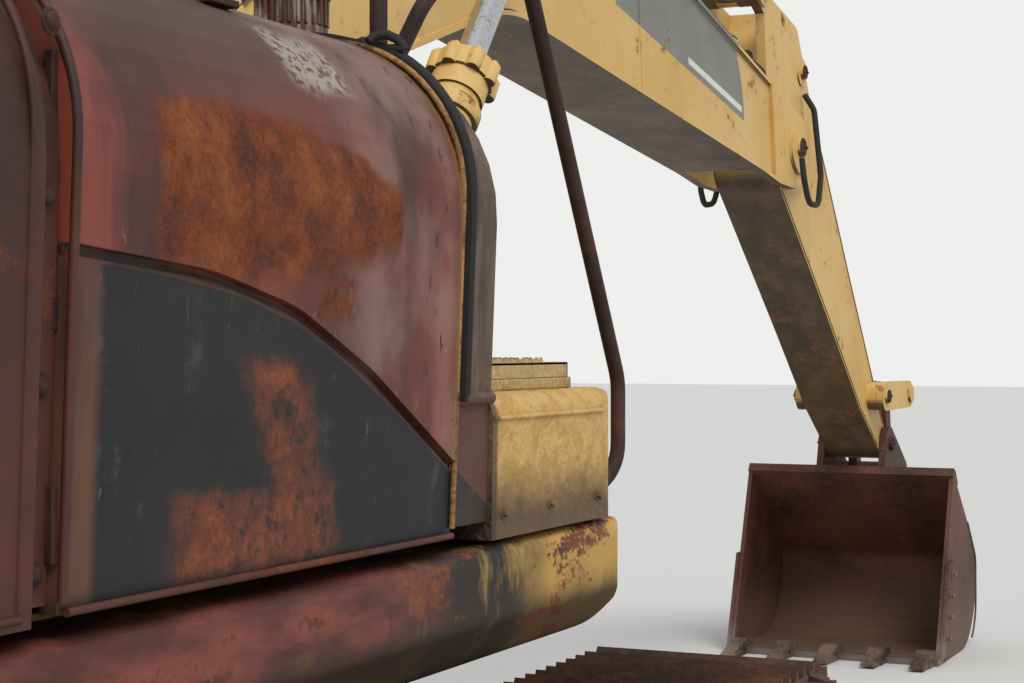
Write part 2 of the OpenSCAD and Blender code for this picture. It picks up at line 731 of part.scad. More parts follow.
module fuel_tank() {
    x_mid = door_front + 14;
    color([0.42, 0.3, 0.26]) mirror([0, 1, 0]) {
        difference() {
            union() {
                along(-350, x_mid + 1) polygon(concat(house_outline(480, panel_t + 14)));
                along(x_mid, tank_front) polygon(house_outline(480, 22));
            }
            // Lower strip is set back under the panel's rolled lip
            box([x_mid - 1, wall_y - 6, deck_z], [tank_front + 1, half_w + 200, box_top - 8]);
            box([-400, 400, deck_z - 100], [tank_front + 1, 1500, deck_z]);
            // The front's outer upper corner leans back to the door's edge
            translate([tank_front, wall_y - 245, house_top - 50]) multmatrix([
                [1, 0.8175, -0.5437, 0], [0, 1, 0, 0], [0, 0, 1, 0]
            ]) translate([0, -300, -1200]) cube([400, 900, 1300]);
        }
        // Rolled lip
        translate([x_mid, wall_y - 2, box_top - 8]) rotate([0, 90, 0]) cylinder(r = 12, h = tank_front -
            x_mid);
        // Filler neck
        translate([cap_x, cap_y, house_top - 60]) cylinder(r = neck_r, h = cap_z + cap_seat - run_gap -
            house_top + 60);
    }
}
cap_x = 195;
cap_y = wall_y - 395;
cap_z = 2376;
neck_r = cap_r - 16;
cap_seat = 50;
module filler_cap() {
    color([0.55, 0.5, 0.44]) translate([cap_x, -cap_y, cap_z]) rotate_extrude() polygon([
        [neck_r + run_gap, 0], [cap_r - 4, 0], [cap_r - 4, 34], [cap_r, 38], [cap_r + 2, 42], [cap_r +
            2, 92],
        [cap_r - 6, 100], [0, 104], [0, cap_seat], [neck_r + run_gap, cap_seat]
    ]);
}
module top_cover_right() {
    color([0.45, 0.2, 0.14]) mirror([0, 1, 0]) difference() {
        along(door_rear - 60 + run_gap, -351) difference() {
            polygon(house_outline(470, 0));
            polygon(house_inner(470, panel_t));
        }
        box([door_rear - 70, roof_y - door_gap, deck_z - 10], [0, 1600, 2500]);
        box([door_rear - 70, 400, deck_z - 10], [0, 1600, house_top - 160]);
    }
    // Inner side wall of the pump compartment
    color([0.3, 0.2, 0.15]) box([door_rear - 60 + run_gap, -500, deck_z + 0.3], [-351, -471, house_top -
        58]);
}
module hydraulic_tank() {
    color([0.35, 0.25, 0.2]) along(-860, -400) polygon(rounded([
        [-1280, deck_z], [-510, deck_z], [-510, 2200, 60], [-1280, 2150, 120]
    ]));
}
module tool_box() {
    x0 = tank_front + 0.3;
    y0 = -740;
    color([0.75, 0.6, 0.3]) difference() {
        union() {
            along(x0, box_front) polygon(rounded([
                [y0, deck_z], [-wall_y, deck_z], [-wall_y - 4, box_top, 46], [y0, box_top, 20]
            ]));
        }
        // Front face leans and its outer corner is rounded
        translate([box_front - 70, -wall_y + 66, deck_z - 1]) difference() {
            translate([0, -80, 0]) cube([90, 80, 600]);
            translate([0, 0, -1]) cylinder(r = 70, h = 602);
        }
        across(-1500, -600) polygon([
            [box_front - 26, box_top + 10], [box_front + 10, box_top + 10], [box_front + 10, deck_z + 60]
        ]);
    }
}
module tread_plates() {
    x0 = tank_front + 6;
    x1 = box_front - 110;
    y0 = -wall_y + 60;
    y1 = -790;
    color([0.5, 0.4, 0.25]) {
        box([x0, y0, box_top], [x1, y1, box_top + 26]);
        difference() {
            box([x0, y0, box_top + 25], [x1 - 20, y1, box_top + 60]);
            for (i = [0:6], j = [0:6])
                translate([x0 + 40 + i * 58, y0 + 55 + j * 72, box_top + 30]) cylinder(r = 17, h = 40);
        }
    }
}
module left_cover() {
    x0 = door_rear - 59;
    x1 = cab_rear - 40;
    color([0.55, 0.42, 0.22]) difference() {
        along(x0, x1) difference() {
            polygon(house_outline(470, 0));
            polygon(house_inner(470, panel_t));
        }
        for (i = [0:5]) box([x0 + 100, panel_in, 1700 + i * 60], [x1 - 100, half_w + 200, 1726 + i * 60]);
    }
    color([0.55, 0.42, 0.22]) {
        box([x1 - panel_t, 520, deck_z], [x1, wall_y - 40, house_side_top - 60]);
        box([x0, 471, deck_z], [x1, 500, house_top - 48]);
    }
}
module engine_block() {
    color([0.25, 0.2, 0.17]) box([-1960, -760, deck_z], [-1330, 640, 2120]);
}
module valve_block() {
    color([0.3, 0.22, 0.17]) {
        box([-980, -280, deck_z], [-560, 280, deck_z + 260]);
        for (i = [0:5]) translate([-940 + i * 68, 0, deck_z + 259]) cylinder(r = 26, h = 120);
    }
}
module swing_drive() {
    color([0.55, 0.42, 0.22]) translate([-470, 0, 0]) {
        translate([0, 0, deck_z]) cylinder(r = 82, h = 120);
        translate([0, 0, deck_z + 119]) cylinder(r = 66, h = 150);
        translate([0, 0, deck_z + 268]) cylinder(r = 40, h = 40);
    }
}
module exhaust() {
    x = -1500;
    y = 415 - wall_y;
    color([0.3, 0.17, 0.12]) translate([x, y, 0]) {
        difference() {
            union() {
                translate([0, 0, house_top - 60]) cylinder(r = 95, h = 60);
                translate([0, 0, house_top - 1]) cylinder(r = 62, h = 330);
                translate([0, 0, house_top + 290]) rotate([0, -35, 0]) cylinder(r = 54, h = 170);
            }
            translate([0, 0, house_top + 290]) rotate([0, -35, 0]) translate([0, 0, 90])
                cylinder(r = 46, h = 100);
            translate([-x, -y, 0]) mirror([0, 1, 0]) along(x - 200, x + 200) polygon(house_outline(400,
                -run_gap));
        }
    }
}
module air_intake() {
    color([0.2, 0.18, 0.16]) difference() {
        translate([-1500, wall_y - 415, 0]) rotate_extrude() polygon([
            [0, house_top - 60], [70, house_top - 60], [70, house_top + 60], [120, house_top + 75],
            [128, house_top + 170], [96, house_top + 215], [0, house_top + 225]
        ]);
        along(-1700, -1300) polygon(house_outline(400, -run_gap));
    }
}
// Handrails on the right: the front rail climbs back over the tank
rail_foot = [deck_front + 107, 70 - half_w];
rail_top_z = 2860;
module handrail_front() {
    x = rail_foot[0];
    y = rail_foot[1];
    foot_x = box_front + rail_r + 14;
    color([0.17, 0.11, 0.09]) difference() {
        union() {
            tube_path([
                [foot_x, y + 60, deck_z - 60], [foot_x, y + 60, deck_z + 30], [x, y, deck_z + 70], [x,
                    y, 1712],
                [x - 595, y + 40, rail_top_z], [-420, y + 120, rail_top_z], [-420, y + 120, 2200]
            ], rail_r);
            tube_path([[126, y + 100, 2200], [126, y + 100, rail_top_z]], rail_r);
            tube_path([[215, y + 150, 2200], [235, y + 110, 2360], [250, y + 75, 2440], [430, y + 40, 2620],
                [x - 480, y + 33, 2660]], rail_r);
        }
        // Feet end on the skirt and on the panels
        mirror([0, 1, 0]) along(door_front, tank_front + 40) polygon(house_outline(400, 22 - run_gap));
        mirror([0, 1, 0]) along(-600, door_front + 40) polygon(house_outline(400, -run_gap));
        box([foot_x - 40, -half_w, deck_z - 100], [foot_x + 40, skirt_d - half_w + 40, deck_z - 10 +
            run_gap]);
    }
}

// Cab

cab_y1 = half_w;
cab_y0 = cab_y1 - cab_w;
cab_front = cab_rear + cab_len;
cab_floor = deck_z + 30;
function cab_rows() = [
    [cab_rear, cab_floor], [cab_front - 120, cab_floor, 80], [cab_front, cab_floor + 330, 260],
    [cab_front - 40, cab_floor + 760, 300], [cab_front - 250, cab_top - 8, 190], [cab_rear, cab_top -
        30, 120]
];
function cab_window_rows() = [
    [cab_rear + 720, cab_floor + 640, 40], [cab_front - 100, cab_floor + 640, 60], [cab_front - 290,
        cab_top - 130, 120],
    [cab_rear + 720, cab_top - 130, 40]
];
rear_window = [cab_rear + 110, cab_rear + 600, cab_floor + 700, cab_top - 150];
door_rows_low = cab_floor + 70;
function door_rows(d) = [
    [cab_rear + 690 - d, door_rows_low - d, 30], [cab_front - 150 + d, door_rows_low - d, 60],
    [cab_front - 75 + d, cab_floor + 400, 260], [cab_front - 120 + d, cab_floor + 760, 200],
    [cab_front - 300 + d, cab_top - 100 + d, 110], [cab_rear + 690 - d, cab_top - 100 + d, 40]
];
module right_window() {
    polygon(rounded([
        [rear_window[0], rear_window[2], 50], [cab_front - 190, rear_window[2], 80],
        [cab_front - 330, rear_window[3], 110], [rear_window[0], rear_window[3], 50]
    ]));
}
module left_window() {
    polygon(rounded([
        [rear_window[0], rear_window[2], 50], [rear_window[1], rear_window[2], 50],
        [rear_window[1], rear_window[3], 50], [rear_window[0], rear_window[3], 50]
    ]));
}
// Front posts, roof and rear wall in one run between the side walls
module cab_shell() {
    y0 = cab_y0 + cab_t + run_gap;
    y1 = cab_y1 - cab_t - run_gap;
    color([0.62, 0.5, 0.28]) {
        difference() {
            across(y0, y1) difference() {
                polygon(rounded(cab_rows()));
                polygon(shifted(rounded(cab_rows()), cab_t));
            }
            // Windows at the rear, in front and in the roof
            box([cab_rear - 10, cab_y0 + 130, rear_window[2]], [cab_rear + cab_t + 10, cab_y1 - 130,
                rear_window[3]]);
            box([cab_front - 420, cab_y0 + 85, cab_floor + 170], [cab_front + 50, cab_y1 - 85, cab_top -
                170]);
            box([cab_rear + 420, cab_y0 + 200, cab_top - 100], [cab_rear + 1080, cab_y1 - 200, cab_top +
                20]);
            // Room for the floor plate
            box([cab_rear + cab_t, y0 - 1, cab_floor - 1], [floor_front, y1 + 1, cab_floor + cab_t + 1]);
        }
    }
}
floor_front = cab_front - 220;
module cab_base() {
    color([0.4, 0.33, 0.22]) {
        box([cab_rear + cab_t + run_gap, cab_y0 + cab_t + run_gap, cab_floor],
            [floor_front - run_gap, cab_y1 - cab_t - run_gap, cab_floor + cab_t]);
        // Mounts down to the deck
        for (x = [cab_rear + 160, cab_front - 420], y = [cab_y0 + 160, cab_y1 - 260])
            translate([x, y, deck_z]) cylinder(r = 60, h = cab_floor - deck_z + 1);
    }
}
module cab_side_right() {
    color([0.62, 0.5, 0.28]) across(cab_y0, cab_y0 + cab_t) difference() {
        polygon(rounded(cab_rows()));
        right_window();
    }
}
module cab_side_left() {
    color([0.62, 0.5, 0.28]) across(cab_y1 - cab_t, cab_y1) difference() {
        polygon(rounded(cab_rows()));
        left_window();
        polygon(rounded(door_rows(door_gap)));
    }
}
module cab_glass() {
    inner = rounded(cab_rows());
    color([0.35, 0.4, 0.4, 0.5]) {
        // Curved front pane between the side posts
        intersection() {
            across(cab_y0 + 85, cab_y1 - 85) difference() {
                polygon(shifted(inner, cab_t / 2 - glass_t / 2));
                polygon(shifted(inner, cab_t / 2 + glass_t / 2));
            }
            box([cab_front - 420, cab_y0, cab_floor + 170], [cab_front + 50, cab_y1, cab_top - 170]);
        }
        across(cab_y0 + cab_t / 2, cab_y0 + cab_t / 2 + glass_t) right_window();
        across(cab_y1 - cab_t / 2 - glass_t, cab_y1 - cab_t / 2) left_window();
        box([cab_rear + cab_t / 2, cab_y0 + 130, rear_window[2]],
            [cab_rear + cab_t / 2 + glass_t, cab_y1 - 130, rear_window[3]]);
    }
}
module roof_hatch() {
    color([0.6, 0.48, 0.27]) box([cab_rear + 420, cab_y0 + 200, cab_top - 62], [cab_rear + 1080,
        cab_y1 - 200, cab_top - 24]);
}
module cab_door() {
    color([0.62, 0.5, 0.28]) difference() {
        across(cab_y1 - cab_t, cab_y1) polygon(rounded(door_rows(0)));
        across(cab_y1 - cab_t - 10, cab_y1 + 10) {
            polygon(rounded([
                [cab_rear + 760, cab_floor + 720, 40], [cab_front - 190, cab_floor + 720, 60],
                [cab_front - 350, cab_top - 170, 90], [cab_rear + 760, cab_top - 170, 40]
            ]));
            polygon(rounded([
                [cab_rear + 760, cab_floor + 180, 40], [cab_front - 240, cab_floor + 180, 60],
                [cab_front - 175, cab_floor + 400, 120], [cab_front - 190, cab_floor + 620, 60],
                [cab_rear + 760, cab_floor + 620, 40]
            ]));
        }
    }
    color([0.1, 0.1, 0.1]) translate([cab_front - 330, cab_y1 - 1, cab_floor + 640]) cube([120, 28, 40]);
}
module door_glass() {
    color([0.35, 0.4, 0.4, 0.5]) across(cab_y1 - cab_t / 2 - glass_t, cab_y1 - cab_t / 2) {
        polygon(rounded([
            [cab_rear + 760, cab_floor + 720, 40], [cab_front - 190, cab_floor + 720, 60],
            [cab_front - 350, cab_top - 170, 90], [cab_rear + 760, cab_top - 170, 40]
        ]));
        polygon(rounded([
            [cab_rear + 760, cab_floor + 180, 40], [cab_front - 240, cab_floor + 180, 60],
            [cab_front - 175, cab_floor + 400, 120], [cab_front - 190, cab_floor + 620, 60],
            [cab_rear + 760, cab_floor + 620, 40]
        ]));
    }
}
seat_x = cab_rear + 520;
cab_mid = (cab_y0 + cab_y1) / 2;
module seat() {
    z = cab_floor + cab_t;
    color([0.1, 0.1, 0.1]) {
        box([seat_x - 160, cab_mid - 170, z], [seat_x + 200, cab_mid + 170, z + 210]);
        across(cab_mid - 250, cab_mid + 250) polygon(rounded([
            [seat_x - 230, z + 209], [seat_x + 270, z + 209, 40], [seat_x + 270, z + 350, 60],
            [seat_x - 120, z + 340, 40], [seat_x - 250, z + 900, 50], [seat_x - 370, z + 880, 50],
            [seat_x - 260, z + 300, 60]
        ]));
        across(cab_mid - 130, cab_mid + 130) polygon(rounded([
            [seat_x - 352, z + 860], [seat_x - 262, z + 880], [seat_x - 270, z + 1050, 40], [seat_x -
                360, z + 1040, 40]
        ]));
    }
}
console_y = cab_w / 2 - 130;
module controls() {
    z = cab_floor + cab_t;
    color([0.13, 0.13, 0.13]) {
        for (k = [-1, 1]) {
            across(cab_mid + k * console_y - 70, cab_mid + k * console_y + 70) polygon(rounded([
                [seat_x - 240, z], [seat_x + 330, z, 30], [seat_x + 400, z + 520, 50], [seat_x - 200,
                    z + 560, 60]
            ]));
            translate([seat_x + 300, cab_mid + k * console_y, z + 500]) cylinder(r = 16, h = 190);
            translate([seat_x + 300, cab_mid + k * console_y, z + 700]) sphere(34);
            // Travel pedals and levers
            box([cab_front - 420, cab_mid + k * 90 - 60, z], [cab_front - 250, cab_mid + k * 90 + 60,
                z + 60]);
            translate([cab_front - 330, cab_mid + k * 90, z + 50]) rotate([0, -8, 0]) cylinder(r = 13,
                h = 560);
        }
    }
}
module mirror_left() {
    z = cab_floor + 1180;
    y = cab_y1 + 110;
    color([0.08, 0.08, 0.08]) {
        difference() {
            tube_path([[cab_front - 200, cab_y1 - 20, z], [cab_front - 33, y, z], [cab_front - 33, y,
                z - 130]], 11);
            box([cab_front - 300, cab_y1 - 100, z - 50], [cab_front, cab_y1 + run_gap, z + 50]);
        }
        across(y - 78, y + 75) polygon(rounded([
            [cab_front - 58, cab_floor + 760, 10], [cab_front - 10, cab_floor + 760, 18], [cab_front -
                10, z - 90],
            [cab_front - 58, z - 90]
        ]));
    }
}
module work_lamps() {
    color([0.12, 0.12, 0.12]) for (y = [cab_y0 + 110, cab_y1 - 200]) {
        translate([cab_front - 330, y + 45, cab_top - 14]) cylinder(r = 16, h = 40);
        translate([cab_front - 360, y + 45, cab_top + 62]) rotate([0, 90, 0]) rotate_extrude() polygon([
            [0, 0], [44, 0], [62, 30], [62, 90], [54, 90], [50, 78], [0, 78]
        ]);
    }
}

// Arm

// The boom's side view: rows go round from under the foot along the belly to the nose and back over the top
boom_crest = [3350, 1292];
boom_nose = [boom_len - 200, 268];
boom_rows = [
    [-40, -170, 90], [400, -60, 600], [1965, 565, 300], [2780, 700, 900], [boom_len - 590, -66, 100],
    [boom_len - 320, -150, 40], [boom_len - 40, -205, 120], [boom_len + 220, -150, 120], [boom_len +
        235, 90, 110],
    [boom_nose[0], boom_nose[1], 100], [boom_crest[0], boom_crest[1], 800], [2697, 1439, 800],
    [240, 265, 500], [-190, 120, 100], [-190, -120, 100]
];
boom_fall = (boom_crest[1] - boom_nose[1]) / (boom_nose[0] - boom_crest[0]);
function boom_top(x) = boom_crest[1] - (x - boom_crest[0]) * boom_fall;
fork_in = stick_w / 2 + move_gap + 3;
fork_r = 330;
module boom() {
    hw = boom_w / 2;
    outline = rounded(boom_rows);
    color([0.74, 0.6, 0.3]) difference() {
        at_boom() {
            difference() {
                union() {
                    difference() {
                        across(-hw, hw) polygon(outline);
                        // Webs stand back between the flanges
                        for (k = [-1, 1]) across(k > 0 ? hw - flange_lip : -hw - 1, k > 0 ? hw + 1 :
                            -hw + flange_lip)
                            intersection() {
                                polygon(shifted(outline, flange_t));
                                polygon([[330, -900], [boom_len - 390, -900], [boom_len - 390, 1900],
                                    [330, 1900]]);
                            }
                    }
                    // Foot tube, cylinder bosses and nose bosses
                    shaft([0, 0], foot_r - 25, -290, 290);
                    both_sides() {
                        shaft(boom_eye, 118, hw - 20, boom_cyl_y - eye_half);
                        shaft([boom_len, 0], 128, hw - 1, hw + 14);
                    }
                    // Ears of the stick cylinder's foot
                    both_sides() across(62, 100) polygon(rounded([
                        [stick_cyl_foot[0] - 330, 1300], [stick_cyl_foot[0] - 110, stick_cyl_foot[1] +
                            60, 90],
                        [stick_cyl_foot[0] + 90, stick_cyl_foot[1] + 90, 90],
                        [stick_cyl_foot[0] + 95, stick_cyl_foot[1] - 70, 80], [stick_cyl_foot[0] + 170,
                            1130]
                    ]));
                }
                shaft([0, 0], pin_r + 8 + run_gap, -300, 300);
                // Fork for the stick
                across(-fork_in, fork_in) {
                    translate([boom_len, 0]) circle(fork_r);
                    // Open above and below for the stick's back and belly at the ends of its swing
                    polygon([
                        [boom_len - 620, -fork_r], [boom_len + 500, -fork_r], [boom_len + 500, 600],
                        [boom_len - 530, 600], [boom_len - 430, 270], [boom_len - fork_r - 20, 115],
                            [boom_len - 620, -70]
                    ]);
                }
            }
            shaft([boom_len, 0], pin_r, -hw - 28, hw + 28);
            both_sides() shaft(stick_cyl_foot, pin_r - 8, -1, 118);
        }
    }
}
// Steel oil lines along the boom's top
clamp_h = 62;
module boom_pipes() {
    y0 = boom_w / 2 - 45;
    step = 48;
    color([0.2, 0.15, 0.12]) at_boom() {
        for (k = [-1, 1], j = [0:1]) {
            y = k * (y0 - j * step);
            tube_path([
                [600, y, 470], [2430, y, 1345], [2640, y, 1424], [2900, y, 1420], [3350, y, 1326],
                [boom_len - 600, y, boom_top(boom_len - 600) + 34]
            ], 15);
        }
        fall = atan(boom_fall);
        for (x = [3760, 4500, 5300], k = [-1, 1])
            translate([x, k * (y0 - step / 2), boom_top(x) + (clamp_h / 2 + run_gap) / cos(fall)])
                rotate([0, fall, 0])
                cube([50, 106, clamp_h], center = true);
    }
}
// Cylinder barrel lying along +X from its foot eye, narrow until it is clear of the ears that hold it
module barrel(len, r, eye_r, bore_r, half_eye, rod_r, gland_r) {
    start = eye_r + 52;
    difference() {
        union() {
            rotate([90, 0, 0]) cylinder(r = eye_r, h = 2 * half_eye, center = true);
            rotate([0, 90, 0]) rotate_extrude() polygon([
                [0, 0], [half_eye - 4, 0], [half_eye - 4, start - 10], [r, start], [r, len - 150],
                    [gland_r - 9, len - 150],
                [gland_r - 9, len - 84], [gland_r, len - 80], [gland_r, len - 12], [gland_r - 12, len],
                    [0, len]
            ]);
        }
        rotate([90, 0, 0]) cylinder(r = bore_r, h = 2 * half_eye + 2, center = true);
        rotate([0, 90, 0]) translate([0, 0, start + 20]) cylinder(r = r - 12, h = len - start - 20 - 60);
        rotate([0, 90, 0]) translate([0, 0, len - 100]) cylinder(r = rod_r + run_gap, h = 110);
    }
}
module rod(len, tail, rod_r, piston_r, eye_r, y0, y1) {
    collar_r = min(rod_r + 14, y1 - 1);
    rotate([0, 90, 0]) translate([0, 0, tail]) cylinder(r = rod_r, h = len - tail - eye_r * 0.5);
    rotate([0, 90, 0]) translate([0, 0, tail]) cylinder(r = piston_r, h = 90);
    rotate([0, 90, 0]) translate([0, 0, len - eye_r - 34]) cylinder(r1 = min(rod_r + 2, collar_r - 1),
        r2 = collar_r, h = 60);
    translate([len, 0, 0]) rotate([90, 0, 0]) translate([0, 0, -y1]) cylinder(r = eye_r, h = y1 - y0);
}
boom_eye_at = on_boom(boom_eye);
boom_cyl_len = norm(boom_eye_at - boom_cyl_foot);
boom_barrel_len = 1740;
// Half of the width of a cylinder's eye
eye_half = 50;
module boom_barrels() {
    color([0.74, 0.6, 0.3]) for (k = [-1, 1]) translate([0, k * boom_cyl_y, 0]) between(boom_cyl_foot,
        boom_eye_at)
        barrel(boom_barrel_len, boom_barrel_r, 92, pin_r - 10 + run_gap, eye_half, boom_rod_r,
            boom_barrel_r + 18);
}
module boom_rods() {
    color([0.75, 0.75, 0.76]) for (k = [-1, 1]) translate([0, k * boom_cyl_y, 0]) between(boom_cyl_foot,
        boom_eye_at)
        mirror([0, k < 0 ? 1 : 0, 0]) rod(boom_cyl_len, boom_cyl_len - 1650, boom_rod_r, boom_barrel_r -
            14, 88,
            2 * run_gap - eye_half, eye_half);
}
stick_cyl_foot_at = on_boom(stick_cyl_foot);
stick_eye_at = on_stick(stick_eye);
stick_cyl_len = norm(stick_eye_at - stick_cyl_foot_at);
stick_barrel_len = stick_cyl_len - 428;
module stick_barrel() {
    color([0.74, 0.6, 0.3]) between(stick_cyl_foot_at, stick_eye_at)
        barrel(stick_barrel_len, stick_barrel_r, 96, pin_r - 8 + run_gap, 56, stick_rod_r,
            stick_barrel_r + 16);
}
module stick_rod() {
    color([0.75, 0.75, 0.76]) between(stick_cyl_foot_at, stick_eye_at)
        rod(stick_cyl_len, 0.297 * stick_barrel_len, stick_rod_r, stick_barrel_r - 14, 90, -50, 50);
}
bucket_cyl_len = norm(knee_local - bucket_cyl_foot);
bucket_barrel_len = 1720;
module bucket_barrel() {
    color([0.74, 0.6, 0.3]) at_stick() between(bucket_cyl_foot, knee_local)
        barrel(bucket_barrel_len, bucket_barrel_r, 86, pin_r - 12 + run_gap, 56, bucket_rod_r,
            bucket_barrel_r + 14);
}
module bucket_rod() {
    color([0.75, 0.75, 0.76]) at_stick() between(bucket_cyl_foot, knee_local)
        rod(bucket_cyl_len, bucket_cyl_len - 1600, bucket_rod_r, bucket_barrel_r - 14, 80, -50, 50);
}

stick_end_r = 88;
// The stick's side view, x towards the bucket, z to the side of the bucket cylinder
stick_rows = [
    [stick_len, -stick_end_r], [stick_len - 90, -stick_end_r - 6, 60], [stick_len - 560, -160, 300],
        [1200, -184], [0, -240, 220],
    [-480, 50, 120], [-700, 262], [-690, 368], [-250, 604, 60], [170, 482, 120], [460, 436, 200], [1273,
        293, 400],
    [2060, 165, 200], [stick_len - 60, stick_end_r + 6, 60], [stick_len, stick_end_r]
];
module stick() {
    hw = stick_w / 2;
    color([0.74, 0.6, 0.3]) at_stick() {
        difference() {
            union() {
                across(-hw, hw) {
                    polygon(rounded(stick_rows));
                    capsule(stick_eye, 95, [-620, 330], 66);
                    translate([stick_len, 0]) circle(stick_end_r);
                }
                both_sides() shaft(idler_pin, 80, hw - 1, link_lane - run_gap);
            }
            shaft([0, 0], pin_r + run_gap, -hw - 1, hw + 1);
            shaft([stick_len, 0], pin_r - 8 + run_gap, -hw - 1, hw + 1);
            // Room for the stick cylinder's eye, open between the webs
            across(-stick_slot, stick_slot) {
                translate(stick_eye) circle(360);
            }
            // Room for the bucket cylinder's foot
            across(-bucket_slot, bucket_slot) polygon([
                [-330, 900], [-330, 400], [-250, 365], [400, 310], [1100, 255], [1400, 240], [1400, 900]
            ]);
        }
        // Bosses on the webs that hold the cylinder pins
        both_sides() {
            shaft(stick_eye, 92, 50 + run_gap, hw + 12);
            shaft(stick_eye, 56, hw + 11, hw + 26);
        }
        both_sides() shaft(bucket_cyl_foot, 72, 56 + run_gap, hw + 8);
        shaft(bucket_cyl_foot, pin_r - 12, -hw - 20, hw + 20);
        shaft(idler_pin, pin_r - 10, -link_lane - link_t - 14, link_lane + link_t + 14);
        // Pipe clamps on the front flange
        for (x = [840, 1240, 1400]) translate([x, -hw + 50, 361 - (x - 470) * 0.19 + 22]) rotate([0, 10, 0])
            cube([62, 90, 78], center = true);
    }
}
stick_slot = stick_w / 2 - web_t;
bucket_slot = stick_w / 2 - web_t;
// The bucket's ears run next to the stick, the idler links outside them
ear_y = stick_w / 2 + move_gap + 0.5;
ear_t = 40;
pin_end = ear_y + ear_t + 12;
link_lane = pin_end + move_gap + 1;
link_t = 36;
module idler_links() {
    color([0.74, 0.6, 0.3]) at_stick() both_sides() difference() {
        across(link_lane, link_lane + link_t) capsule(idler_pin, 84, knee_local, 80);
        shaft(idler_pin, pin_r - 10 + run_gap, link_lane - 1, link_lane + link_t + 1);
    }
    color([0.3, 0.17, 0.12]) at_stick() both_sides() shaft(knee_local, 52, link_lane + link_t - 1,
        link_lane + link_t + 16);
}
module power_link() {
    hw = stick_w / 2;
    color([0.42, 0.22, 0.14]) at_stick() difference() {
        both_sides() {
            across(72, 122) {
                capsule(ear_pin_local, 52, knee_local, 56);
                translate(ear_pin_local) circle(74);
                translate(knee_local) circle(74);
            }
            shaft(knee_local, 74, 50 + run_gap, link_lane - run_gap);
            shaft(ear_pin_local, 74, 0, hw);
        }
        shaft(ear_pin_local, pin_r - 12 + run_gap, -hw - 1, hw + 1);
    }
}

// Bucket, side view seen from its pin, at rest with the floor on the ground
lip_x = -553;
roof_a = -38.5;
lip_top = [-166, -158];
back_top = lip_top + turn([500, 0], roof_a);
module bucket() {
    hw = bucket_w / 2;
    low = -bucket_pin_z;
    pin_b = ear_pin - bucket_pin;
    skin = [[lip_x, low], [back_x, low, 415], [back_x - 16, -700, 120], back_top + [0, 0], lip_top];
    // The hollow follows the skin and runs on past both lips
    open_skin = [
        [lip_x - 400, low], [back_x, low, 415], [back_x - 16, -700, 120], back_top + [0, 0],
        lip_top + turn([-500, 0], roof_a)
    ];
    color([0.36, 0.22, 0.16]) at_bucket() {
        difference() {
            union() {
                difference() {
                    across(-hw, hw) polygon(rounded(skin));
                    across(-hw + bucket_t, hw - bucket_t) polygon(shifted(rounded(open_skin), bucket_t));
                }
                // Beam along the upper lip
                across(-hw, hw) polygon([
                    lip_top + turn([-12, -bucket_t], roof_a), lip_top + turn([130, -1], roof_a),
                    lip_top + turn([130, 26], roof_a), lip_top + turn([36, 44], roof_a), lip_top +
                        turn([-12, 30], roof_a)
                ]);
                // Ears round both pins
                both_sides() across(ear_y, ear_y + ear_t) {
                    capsule([0, 0], 100, pin_b, ear_boss_r);
                    polygon([
                        turn([-98, -20], roof_a), lip_top + turn([20, -10], roof_a),
                        back_top + turn([-10, -14], roof_a), pin_b + turn([90, -10], roof_a)
                    ]);
                }
                // Side cutters
                both_sides() across(hw - 1, hw + 18) polygon([
                    [lip_x + 6, low + 34], [lip_x + 190, low + 34], [lip_x + 330, low + 560], [lip_x +
                        190, low + 560]
                ]);
                // Thick floor lip
                across(-hw, hw) polygon([
                    [lip_x - 20, low], [lip_x + 220, low], [lip_x + 220, low + bucket_t + 6], [lip_x,
                        low + 40],
                    [lip_x - 20, low + 34]
                ]);
            }
        }
        // Pins
        shaft([0, 0], pin_r - 8, -pin_end, pin_end);
        shaft(pin_b, pin_r - 12, -pin_end, pin_end);
    }
}
module bucket_teeth() {
    hw = bucket_w / 2;
    low = -bucket_pin_z;
    color([0.45, 0.36, 0.3]) at_bucket() for (i = [0:tooth_count - 1]) {
        y = (hw - bucket_t - run_gap - tooth_w / 2) * (2 * i / (tooth_count - 1) - 1);
        across(y - tooth_w / 2, y + tooth_w / 2) polygon([
            [lip_x - 20, low], [lip_x - 120, low], [lip_x - 120, low + 62], [lip_x - 40, low + 88],
            [lip_x + 90, low + 74], [lip_x + 90, low + 40 + 0.3], [lip_x, low + 40 + 0.3], [lip_x - 20,
                low + 34 + 0.3]
        ]);
        across(y - tooth_w / 2 + 8, y + tooth_w / 2 - 8) polygon([
            [lip_x - 119, low + 2], [lip_x - 260, low + 10], [lip_x - 264, low + 22], [lip_x - 119,
                low + 66]
        ]);
    }
}

// The last shift puts the origin under the middle of the whole machine
module place() {
    translate([-mid_x, 0, 0]) children();
}
place() carbody();
place() swing_bearing();
place() side_frame(1);  // track_frame_left
place() side_frame(-1);  // track_frame_right
place() track(1);  // track_left
place() track(-1);  // track_right
place() sprocket(1);  // sprocket_left
place() sprocket(-1);  // sprocket_right
place() idler(1);  // idler_left
place() idler(-1);  // idler_right
place() rollers(1);  // rollers_left
place() rollers(-1);  // rollers_right
place() upper_frame();
place() side_skirt(1);  // side_skirt_left
place() side_skirt(-1);  // side_skirt_right
place() counterweight();
place() engine_block();
place() engine_housing();
place() engine_hood();
place() pump_door();
place() door_seal();
place() radiator_door();
place() top_cover_right();
place() left_cover();
place() fuel_tank();
place() hydraulic_tank();
place() filler_cap();
place() tool_box();
place() tread_plates();
place() valve_block();
place() swing_drive();
place() exhaust();
place() air_intake();
place() handrail_front();
place() cab_shell();
place() cab_base();
place() cab_side_left();
place() cab_side_right();
place() cab_glass();
place() roof_hatch();
place() cab_door();
place() door_glass();
place() seat();
place() controls();
